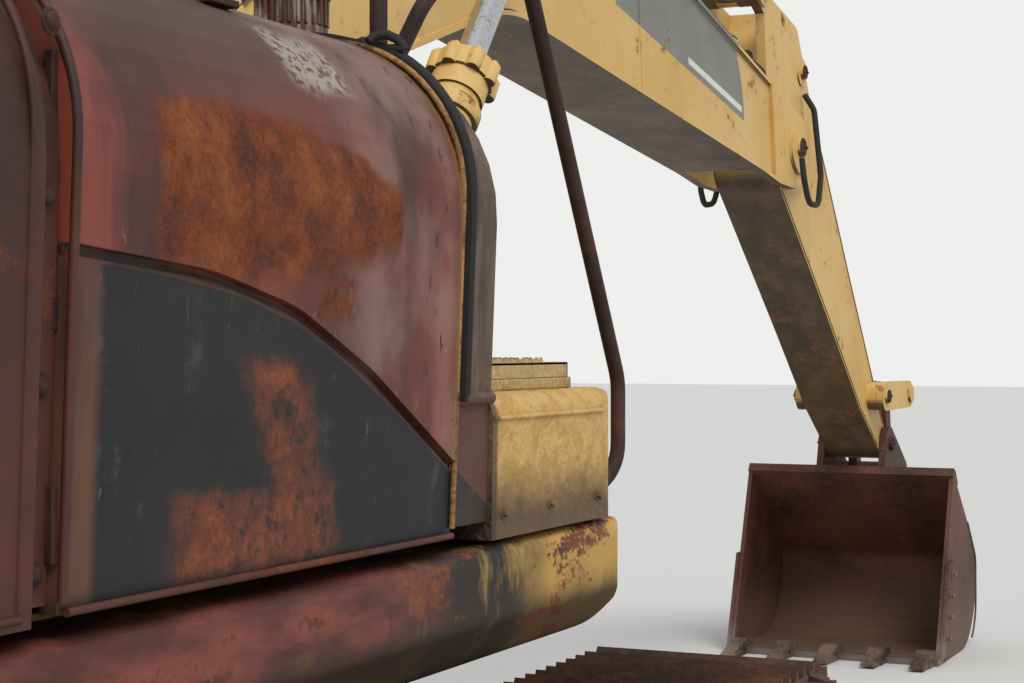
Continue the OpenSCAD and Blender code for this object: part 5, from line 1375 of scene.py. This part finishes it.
def loop_place(s):
    """A place on the track's pitch line: x and z from the machine's middle, with the outward lean."""
    arc = math.pi * PITCH_R
    s %= LOOP
    if s < HALF_BASE:
        return s, AXLE_Z + PITCH_R, 0.0
    if s < HALF_BASE + arc:
        a = (s - HALF_BASE) / PITCH_R
        return HALF_BASE + PITCH_R * math.sin(a), AXLE_Z + PITCH_R * math.cos(a), a
    if s < 3 * HALF_BASE + arc:
        return HALF_BASE - (s - HALF_BASE - arc), AXLE_Z - PITCH_R, math.pi
    if s < 3 * HALF_BASE + 2 * arc:
        a = (s - 3 * HALF_BASE - arc) / PITCH_R
        return -HALF_BASE - PITCH_R * math.sin(a), AXLE_Z - PITCH_R * math.cos(a), math.pi + a
    return s - LOOP, AXLE_Z + PITCH_R, 0.0


class EXC_OT_tracks(bpy.types.Operator):
    """Bolts the track shoes to their links and caps the pins, rollers and drives"""

    bl_idname = "exc.tracks"
    bl_label = "Tracks"

    def execute(self, context):
        for side, label in SIDES:
            self.fit_chain(side * HALF_GAUGE, label)
            self.fit_frame(side, label)
        ring_r, ring_z = 0.64, 1.0
        spots = [
            (machine(ring_r * math.cos(a), ring_r * math.sin(a), ring_z), (math.cos(a), math.sin(a), 0))
            for a in angles(36)
        ]
        hand_over(bolts("bearing_bolts", spots, 0.009), "undercarriage", "cast")
        return {"FINISHED"}

    def fit_chain(self, mid, label):
        places = []
        for i in range(SHOES):
            x, z, a = loop_place((i + 0.5) * PITCH)
            places.append(Matrix.Translation(machine(x, mid, z)) @ Matrix.Rotation(a, 4, "Y"))
        ends = [place @ Matrix.Translation((-PITCH / 2, 0, 0)) for place in places]
        across = (-PITCH / 3 + PITCH / 6 * 0.98, PITCH / 6)
        spots = [(Vector((dx, y, LINK_LOW + SHOE_T)), (0, 0, 1)) for dx in across for y in (-0.105, 0.105)]
        heads = stamped("shoe_bolts_" + label, bolts("set", spots, 0.0095), places)
        hand_over(heads, "undercarriage", "track")
        rows = [(0, -0.118), (0.016, -0.118), (0.03, -0.112), (0.03, 0.112), (0.016, 0.118), (0, 0.118)]
        pins = stamped("track_pins_" + label, turned("pin", rows, axis="Y", steps=14), ends)
        hand_over(pins, "undercarriage", "cast")

    def fit_frame(self, side, label):
        mid = side * HALF_GAUGE
        roller_z, rollers = 0.2203, 8
        caps, spots = [], []
        for out in (-1, 1):
            y = mid + out * 0.165
            for i in range(rollers):
                at = machine(-1.205 + 2.41 * i / (rollers - 1), y, roller_z)
                spots += [(at + Vector((dx, out * 0.004, 0.052)), (0, out, 0)) for dx in (-0.03, 0.03)]
                caps.append(aimed(at, (0, out, 0)))
            spots += ring_of(machine(HALF_BASE, y, AXLE_Z), (0, out, 0), 0.05, 4)
        rows = [(0, 0), (0.042, 0), (0.042, 0.006), (0.034, 0.014), (0.016, 0.016), (0.014, 0.01), (0, 0.01)]
        caps = stamped("roller_caps", turned("roller_cap", rows, steps=20), caps)
        spots += ring_of(machine(-HALF_BASE, mid + side * 0.215, AXLE_Z), (0, side, 0), 0.165, 12)
        spots += ring_of(machine(-HALF_BASE, mid + side * 0.03, AXLE_Z), (0, side, 0), 0.29, 16, 0.1)
        heads = bolts("drive_bolts", spots, 0.012)
        rows = [(0, 0), (0.05, 0), (0.05, 0.01), (0.03, 0.014), (0.028, 0.006), (0, 0.006)]
        plug = turned("drive_plug", rows, machine(-HALF_BASE, mid + side * 0.215, AXLE_Z), out_from(side))
        y = side * 1.46
        step = slab("track_step", (-0.2, y - 0.01, 0.50), (0.2, y + 0.035, 0.515), 0.003)
        hand_over(merged("roller_fittings_" + label, [caps, heads, plug, step]), "undercarriage", "frame")


class EXC_OT_seat(bpy.types.Operator):
    """Upholsters the seat with crowned, seamed cushions"""

    bl_idname = "exc.seat"
    bl_label = "Seat"

    def execute(self, context):
        mid, step = 0.95, 0.014
        base = slab("seat_base", (-0.07, mid - 0.17, 1.499), (0.29, mid + 0.17, 1.60), 0.01)
        tray = slab("seat_tray", (-0.12, mid - 0.22, 1.64), (0.33, mid + 0.22, 1.70), 0.015)
        folds = [
            slab("fold", (-0.04, mid - 0.15, 1.60 + i * step), (0.26, mid + 0.15, 1.611 + i * step), 0.005)
            for i in range(3)
        ]
        hand_over(merged("seat_frame", [base, tray] + folds), "upper", "plastic", "seat")
        # Name, size, place, lean in degrees, crown, seams and edge radius
        rows = [
            ("seat_cushion", (0.48, 0.5, 0.12), (0.1, mid, 1.768), -4, 0.016, (-0.12, 0.0, 0.12), 0.035),
            ("back_cushion", (0.54, 0.47, 0.1), (-0.175, mid, 2.09), 77, 0.014, (-0.13, 0.0, 0.13), 0.035),
            ("head_cushion", (0.17, 0.26, 0.08), (-0.245, mid, 2.45), 82, 0.012, (0.0,), 0.03),
        ]
        for name, size, at, lean, *form in rows:
            place = Matrix.Translation(machine(*at)) @ Matrix.Rotation(math.radians(lean), 4, "Y")
            pad = cushion(name, size, place, *form)
            hand_over(pad, "upper", "cloth")
        x = -0.262
        posts = [tube("post", [(x, mid + k, 2.30), (x, mid + k, 2.42)], 0.006) for k in (-0.06, 0.06)]
        hand_over(merged("head_posts", posts), "upper", "chrome")
        return {"FINISHED"}


def outline(rows, steps=7):
    """Turns rows (x, z, radius) into the points of a closed side view with rounded corners."""
    points = [Vector((a, 0, b)) for a, b, _ in rows]
    out = []
    for i, (_, _, radius) in enumerate(rows):
        out += corner_arc(points[i - 1], points[i], points[(i + 1) % len(rows)], radius, steps)
    return out


# The cab's rear, front, floor and roof
REAR, FRONT, FLOOR, ROOF = -0.43, 1.33, 1.45, 2.99


def gasket(rows, y):
    """A rubber seal round a window, from rows (x, z, radius) of its side view."""
    return tube("gasket", [(p.x, y, p.z) for p in outline(rows)], 0.009, 0, 3, True)


class EXC_OT_cab(bpy.types.Operator):
    """Adds gaskets, wiper, handles, lamps' lenses and the mirror's glass to the cab"""

    bl_idname = "exc.cab"
    bl_label = "Cab fittings"

    def execute(self, context):
        self.seal_windows()
        self.fit_outside()
        self.fit_inside()
        return {"FINISHED"}

    def seal_windows(self):
        low, high, rear = FLOOR + 0.7, ROOF - 0.15, REAR + 0.11
        right = [(rear, low, 0.05), (FRONT - 0.19, low, 0.08), (FRONT - 0.33, high, 0.11), (rear, high, 0.05)]
        left = [(rear, low, 0.05), (REAR + 0.6, low, 0.05), (REAR + 0.6, high, 0.05), (rear, high, 0.05)]
        y0, y1, x = 0.63, 1.27, REAR + 0.004
        back = [(x, y0, low), (x, y1, low), (x, y1, high), (x, y0, high)]
        shell = [gasket(right, 0.504), gasket(left, 1.396), tube("gasket", back, 0.009, 0.04, 3, True)]
        hand_over(merged("cab_gaskets", shell), "upper", "rubber")
        hinge, low, high = REAR + 0.76, FLOOR + 0.72, ROOF - 0.17
        upper = [(hinge, low, 0.04), (FRONT - 0.19, low, 0.06)]
        upper += [(FRONT - 0.35, high, 0.09), (hinge, high, 0.04)]
        low, high = FLOOR + 0.18, FLOOR + 0.62
        lower = [(hinge, low, 0.04), (FRONT - 0.24, low, 0.06), (FRONT - 0.175, FLOOR + 0.4, 0.12)]
        lower += [(FRONT - 0.19, high, 0.06), (hinge, high, 0.04)]
        doors = [gasket(upper, 1.396), gasket(lower, 1.396)]
        hand_over(merged("door_gaskets", doors), "cab_entry", "rubber")

    def fit_outside(self):
        x = FRONT - 0.29
        run = [(x, 1.36, 2.12), (x, 1.31, 2.12), (x, 1.31, 1.80), (x, 1.36, 1.80)]
        grip = tube("door_grip", run, 0.010, 0.03)
        hand_over(grip, "cab_entry", "plastic")
        run = [(-0.03, 1.72), (0.03, 1.74), (0.005, 2.28), (-0.06, 2.30)]
        hand_over(tube("cab_rail", [(FRONT + dx, 1.36, z) for dx, z in run], 0.012, 0.04), "upper", "dark")
        run = [(FRONT - 0.02, 0.62, 2.10), (FRONT + 0.022, 0.64, 2.11), (FRONT - 0.05, 0.86, 2.46)]
        arm = tube("wiper_arm", run, 0.006, 0.02)
        blade = slab("wiper_blade", (FRONT - 0.055, 0.855, 2.28), (FRONT - 0.04, 0.867, 2.62), 0.003)
        rows = [(0, 0), (0.02, 0), (0.02, 0.02), (0.012, 0.03), (0, 0.03)]
        hub = turned("wiper_hub", rows, machine(FRONT - 0.028, 0.62, 2.10), "X", 20)
        hand_over(merged("wiper", [arm, blade, hub]), "upper", "plastic")
        rows = [(0, 0.001), (0.02, 0.006), (0.04, 0.004), (0.05, 0)]
        lenses = [turned("lens", rows, machine(FRONT - 0.28, y, ROOF + 0.062), "X") for y in (0.655, 1.245)]
        hand_over(merged("lamp_lenses", lenses), "upper", "lamp")
        low, high = (FRONT - 0.0595, 1.44, FLOOR + 0.775), (FRONT - 0.057, 1.575, FLOOR + 1.075)
        hand_over(slab("mirror_glass", low, high, 0.001, 1), "upper", "chrome")
        z, x0, x1 = ROOF - 0.026, REAR + 0.42, REAR + 1.08
        rim = [(x0, 0.7, z), (x1, 0.7, z), (x1, 1.2, z), (x0, 1.2, z)]
        hatch = tube("hatch_seal", rim, 0.008, 0.03, 3, True)
        latch = slab("hatch_latch", (REAR + 0.7, 0.93, z), (REAR + 0.8, 0.97, ROOF - 0.004), 0.005)
        hand_over(merged("hatch_fittings", [hatch, latch]), "upper", "rubber")

    def fit_inside(self):
        monitor = slab("monitor", (0.93, 0.56, 1.95), (0.97, 0.72, 2.08), 0.008)
        screen = slab("screen", (0.925, 0.58, 1.97), (0.931, 0.70, 2.06), 0.001, 1)
        stalk = tube("stalk", [(0.95, 0.60, 1.50), (0.95, 0.60, 1.97)], 0.012)
        mat = slab("floor_mat", (0.35, 0.56, 1.4985), (1.15, 1.34, 1.506), 0.003)
        ribs = []
        for i in range(16):
            x = 0.38 + i * 0.045
            ribs.append(slab("mat_rib", (x, 0.58, 1.505), (x + 0.015, 1.32, 1.510), 0))
        hand_over(merged("cab_inside", [monitor, stalk, mat] + ribs), "upper", "rubber")
        hand_over(screen, "upper", "glass")
        boots = []
        for side in (-0.32, 0.32):
            for i in range(4):
                r = 0.052 - i * 0.007
                rows = [(r, 0), (r + 0.003, 0.008), (r - 0.002, 0.016), (0.02, 0.018), (0.02, 0)]
                boots.append(turned("boot", rows, machine(0.39, 0.95 + side, 2.0 + i * 0.016), steps=20))
        hand_over(merged("lever_boots", boots), "upper", "rubber")


class EXC_OT_bucket(bpy.types.Operator):
    """Adds the bucket's bolts, straps, tooth pins and weld beads"""

    bl_idname = "exc.bucket"
    bl_label = "Bucket"

    def execute(self, context):
        def at(x, y, z):
            return BUCKET_PIN + Vector((x, y, z))

        low, lip, teeth, tooth_half = -BUCKET_PIN.z, -0.553, 5, 0.046
        spots, beads, pins = [], [], []
        sole = low + 0.008
        rim = outline([(lip + 0.24, sole, 0), (0.474, sole, 0.4), (0.458, -0.7, 0.12), (0.225, -0.474, 0)])
        rim = [(p.x, p.z) for p in rim if p.z - low > 0.02]
        for side, _ in SIDES:
            for i in range(4):
                place = at(lip + 0.13 + i * 0.045, side * 0.633, low + 0.14 + i * 0.115)
                spots.append((place, (0, side, 0)))
            edge = [(lip + 0.20, low + 0.04), (lip + 0.335, low + 0.56)]
            beads.append(side_bead(at, side * 0.617, edge, 0.006))
            beads.append(side_bead(at, side * 0.6155, rim, 0.007))
            beads.append(side_bead(at, side * 0.2145, [(-0.08, -0.21), (0.19, -0.43)], 0.007))
        hand_over(bolts("cutter_bolts", spots, 0.018), "bucket", "teeth")
        rows = [(0, 0), (0.013, 0), (0.013, 0.003), (0.009, 0.005), (0, 0.005)]
        reach = 0.615 - 0.024 - 0.0003 - tooth_half
        for i in range(teeth):
            y = reach * (2 * i / (teeth - 1) - 1)
            for side, _ in SIDES:
                place = at(lip - 0.085, y + side * tooth_half, low + 0.04)
                pins.append(turned("tooth_pin", rows, place, out_from(side), 16))
            x, z = lip + 0.092, low + 0.046
            beads.append(weld("bead", [at(x, y - tooth_half, z), at(x, y + tooth_half, z)], 0.006))
        hand_over(merged("tooth_pins", pins), "bucket", "dark")
        hand_over(merged("wear_straps", self.straps(at, low)), "bucket", "bucket")
        hand_over(merged("bucket_welds", beads), "bucket", "bucket")
        return {"FINISHED"}

    def straps(self, at, low):
        """Wear straps wrapped round the heel, where they stay inside the bucket's own box."""
        thick, back, foot = 0.009, 0.482, low + 0.001
        rim = outline([(0.0, low, 0), (0.49, low, 0.415), (0.474, -0.7, 0.12), (0.3, -0.54, 0.0)])
        rim = [p for p in rim if p.x > 0.2]
        made = []
        for y in (-0.45, -0.15, 0.15, 0.45):
            for a, b in zip(rim, rim[1:]):
                run = b - a
                out = Vector((run.z, 0, -run.x)).normalized()
                if any(q.x + out.x * thick > back or q.z + out.z * thick < foot for q in (a, b)):
                    continue
                half = run.length * 0.53
                strap = block("strap", (-0.035, -half, -0.004), (0.035, half, 0.006), 0.002, 1)
                turn = Matrix((Vector((0, 1, 0)), run.normalized(), out)).transposed().to_4x4()
                made.append(put(strap, Matrix.Translation(at(0, y, 0) + (a + b) / 2 + out * 0.002) @ turn))
        return made


class EXC_OT_housing(bpy.types.Operator):
    """Adds hinges, handles, grilles and bolts to the housing, the hood and the counterweight"""

    bl_idname = "exc.housing"
    bl_label = "Housing fittings"

    def execute(self, context):
        self.fit_hood()
        self.fit_sides()
        self.fit_stacks()
        self.fit_weight()
        return {"FINISHED"}

    def fit_hood(self):
        """Louvres, handle and latches on the hood, and bolts beside it."""
        parts = []
        for i in range(12):
            x = -1.89 + i * 0.05
            for y in (-0.42, 0.16):
                parts.append(slab("fin", (x, y, 2.4715), (x + 0.03, y + 0.26, 2.4775), 0.002, 1))
        x, low, high = -1.27, 2.395, 2.43
        parts.append(tube("hood_handle", [(x, -0.08, low), (x, -0.08, high), (x, 0.08, high), (x, 0.08, low)],
                          0.007, 0.02))
        for y in (-0.6, 0.6):
            parts.append(slab("hood_latch", (-1.32, y - 0.03, 2.397), (-1.235, y + 0.03, 2.412)))
        hand_over(merged("hood_fittings", parts), "hood", "burnt")
        spots = [
            (machine(x, side * y, roof_z(y) + 0.001), (0, side * 0.146, 0.989))
            for side, _ in SIDES
            for y in (1.02, 1.12)
            for x in (-2.05, -1.7, -1.35, -1.13)
        ]
        hand_over(bolts("roof_bolts", spots, 0.010), "upper", "burnt")

    def fit_sides(self):
        """Seams and lock of the right panel, grille and hinges of the radiator's door."""
        rear, front = -2.07, -1.125
        parts = [round_bar("panel_seam", edge_line(x, 0.001, 1.0), 0.006, 0, 3) for x in (rear, front)]
        parts.append(tube("panel_seam", [(rear, -1.406, 1.45), (front, -1.406, 1.45)], 0.006, 0, 3))
        rows = [(0, 0), (0.032, 0), (0.032, 0.005), (0.026, 0.009), (0.014, 0.009), (0.013, 0.004), (0, 0.004)]
        parts.append(turned("lock", rows, machine(-1.22, -1.418, 1.8), "-Y"))
        hand_over(merged("panel_seams", parts), "upper", "burnt")
        x, z = -1.86, 1.53
        bars = [
            slab("grille_bar", (x, 1.33, z + i * 0.03), (-1.3, 1.338, z + 0.01 + i * 0.03), 0.001, 1)
            for i in range(14)
        ]
        bars += [
            slab("grille_bar", (x + i * 0.04, 1.325, z), (x + 0.008 + i * 0.04, 1.331, 1.945), 0.001, 1)
            for i in range(15)
        ]
        hand_over(merged("radiator_grille", bars), "radiator_cover", "dark")
        rows = [(0, 0), (0.03, 0), (0.03, 0.006), (0.02, 0.01), (0, 0.01)]
        parts = [turned("radiator_lock", rows, machine(-1.25, 1.414, 1.75), "Y")]
        rows = [(0, 0), (0.010, 0), (0.010, 0.09), (0, 0.09)]
        parts += [turned("hinge", rows, machine(-1.955, 1.412, z), steps=16) for z in (1.55, 1.85)]
        hand_over(merged("radiator_fittings", parts), "radiator_cover", "dark")

    def fit_stacks(self):
        """Band and skirt of the exhaust, and the rings of the air intake."""
        x, y = -1.5, -0.98
        band = turned("band", [(0.06, 0), (0.069, 0.002), (0.069, 0.028), (0.06, 0.03)], machine(x, y, 2.52))
        lug = slab("lug", (x - 0.01, y - 0.085, 2.522), (x + 0.01, y - 0.065, 2.548), 0.003)
        rows = [(0.062, 0), (0.1, 0), (0.1, 0.006), (0.07, 0.02), (0.062, 0.02)]
        skirt = turned("skirt", rows, machine(x, y, 2.405))
        hand_over(merged("exhaust_fittings", [band, lug, skirt]), "upper", "burnt")
        rows = [(0.118, 0), (0.131, 0.003), (0.131, 0.012), (0.118, 0.015)]
        rings = [turned("ring", rows, machine(x, -y, 2.49 + i * 0.03)) for i in range(3)]
        hand_over(merged("intake_rings", rings), "upper", "plastic")

    def fit_weight(self):
        """Bolts, seams and weld beads of the counterweight."""
        points = [(-2.9235, y, 1.5 + z) for y in (-0.27, 0.27) for z in (-0.03, 0.16)]
        parts = [bolts("weight_bolts", facing((-1, 0, 0), *points), 0.016)]
        for side, _ in SIDES:
            y = side * 0.76
            run = [(-2.555, y - 0.03), (-2.405, y - 0.03), (-2.405, y + 0.03), (-2.555, y + 0.03)]
            parts.append(weld("bead", [machine(a, b, 2.102) for a, b in run], 0.006, 0.01, True))
        x = -2.088
        for side, _ in SIDES:
            y = side * 1.396
            parts.append(tube("weight_joint", [(x, y, 1.12), (x, y, 1.9)], 0.006, 0, 3))
        hand_over(merged("weight_fittings", parts), "upper", "dark")


class EXC_OT_stage(bpy.types.Operator):
    """Adds the floor, the lamps and the camera"""

    bl_idname = "exc.stage"
    bl_label = "Stage"

    def execute(self, context):
        s = context.scene.exc_stage
        clear_selection()
        bpy.ops.mesh.primitive_plane_add(size=160, location=(0, 0, -0.002))
        floor = newest("floor")
        f = Finish("floor_pale")
        f.done((*s.floor, 1), 0.9)
        floor.data.materials.append(f.material)
        self.set_sky(context.scene)
        clear_selection()
        bpy.ops.object.light_add(type="SUN", rotation=[math.radians(a) for a in (38, -12, -30)])
        sun = context.active_object.data
        sun.energy = s.key * 0.5
        sun.angle = math.radians(25)
        sun.color = (1.0, 0.98, 0.95)
        clear_selection()
        turn = (math.radians(90), 0, math.radians(-65.3))
        bpy.ops.object.camera_add(location=machine(-3.05, -2.965, 1.79), rotation=turn)
        camera = context.active_object
        camera.data.lens = s.lens
        camera.data.sensor_width = 36
        camera.data.shift_y = 4.5 / 1024
        camera.data.clip_end = 300
        context.scene.camera = camera
        context.scene.view_settings.view_transform = "Standard"
        return {"FINISHED"}

    def set_sky(self, scene):
        """Soft light from all round, with a pale backdrop for the camera and through the glass."""
        world = bpy.data.worlds.new("studio")
        scene.world = world
        world.use_nodes = True
        tree = world.node_tree
        tree.nodes.clear()
        out, mixer, light, either = [
            tree.nodes.new("ShaderNode" + kind) for kind in ("OutputWorld", "MixShader", "LightPath", "Math")
        ]
        either.operation = "MAXIMUM"
        links = [
            (light.outputs["Is Camera Ray"], either.inputs[0]),
            (light.outputs["Is Transmission Ray"], either.inputs[1]),
            (either.outputs[0], mixer.inputs[0]),
            (mixer.outputs[0], out.inputs[0]),
        ]
        for i, (colour, strength) in enumerate((((0.93, 0.96, 1.0, 1), 0.72), ((0.86, 0.86, 0.85, 1), 1.0))):
            glow = tree.nodes.new("ShaderNodeBackground")
            glow.inputs[0].default_value = colour
            glow.inputs[1].default_value = strength
            links.append((glow.outputs[0], mixer.inputs[i + 1]))
        for start, end in links:
            tree.links.new(start, end)


class EXC_PT_panel(bpy.types.Panel):
    """Lists the steps and their settings"""

    bl_label = "Excavator"
    bl_idname = "EXC_PT_panel"
    bl_space_type = "VIEW_3D"
    bl_region_type = "UI"
    bl_category = "Excavator"

    def draw(self, context):
        layout = self.layout
        for step in STEPS:
            layout.operator(step.bl_idname)
        for group in GROUPS:
            box = layout.box()
            holder = getattr(context.scene, GROUPS[group])
            for key in group.__annotations__:
                box.prop(holder, key)


STEPS = [
    EXC_OT_finishes,
    EXC_OT_handrail,
    EXC_OT_cap,
    EXC_OT_door,
    EXC_OT_box,
    EXC_OT_pipes,
    EXC_OT_cylinders,
    EXC_OT_welds,
    EXC_OT_pins,
    EXC_OT_tracks,
    EXC_OT_seat,
    EXC_OT_cab,
    EXC_OT_bucket,
    EXC_OT_housing,
    EXC_OT_stage,
]
GROUPS = {StageSettings: "exc_stage", RailSettings: "exc_rail", HoseSettings: "exc_hose"}


def register():
    for group, holder in GROUPS.items():
        bpy.utils.register_class(group)
        setattr(bpy.types.Scene, holder, bpy.props.PointerProperty(type=group))
    for step in STEPS:
        bpy.utils.register_class(step)
    bpy.utils.register_class(EXC_PT_panel)


def unregister():
    bpy.utils.unregister_class(EXC_PT_panel)
    for step in reversed(STEPS):
        bpy.utils.unregister_class(step)
    for group, holder in GROUPS.items():
        delattr(bpy.types.Scene, holder)
        bpy.utils.unregister_class(group)


def main():
    register()
    for step in STEPS:
        group, name = step.bl_idname.split(".")
        getattr(getattr(bpy.ops, group), name)()


if __name__ == "__main__":
    main()
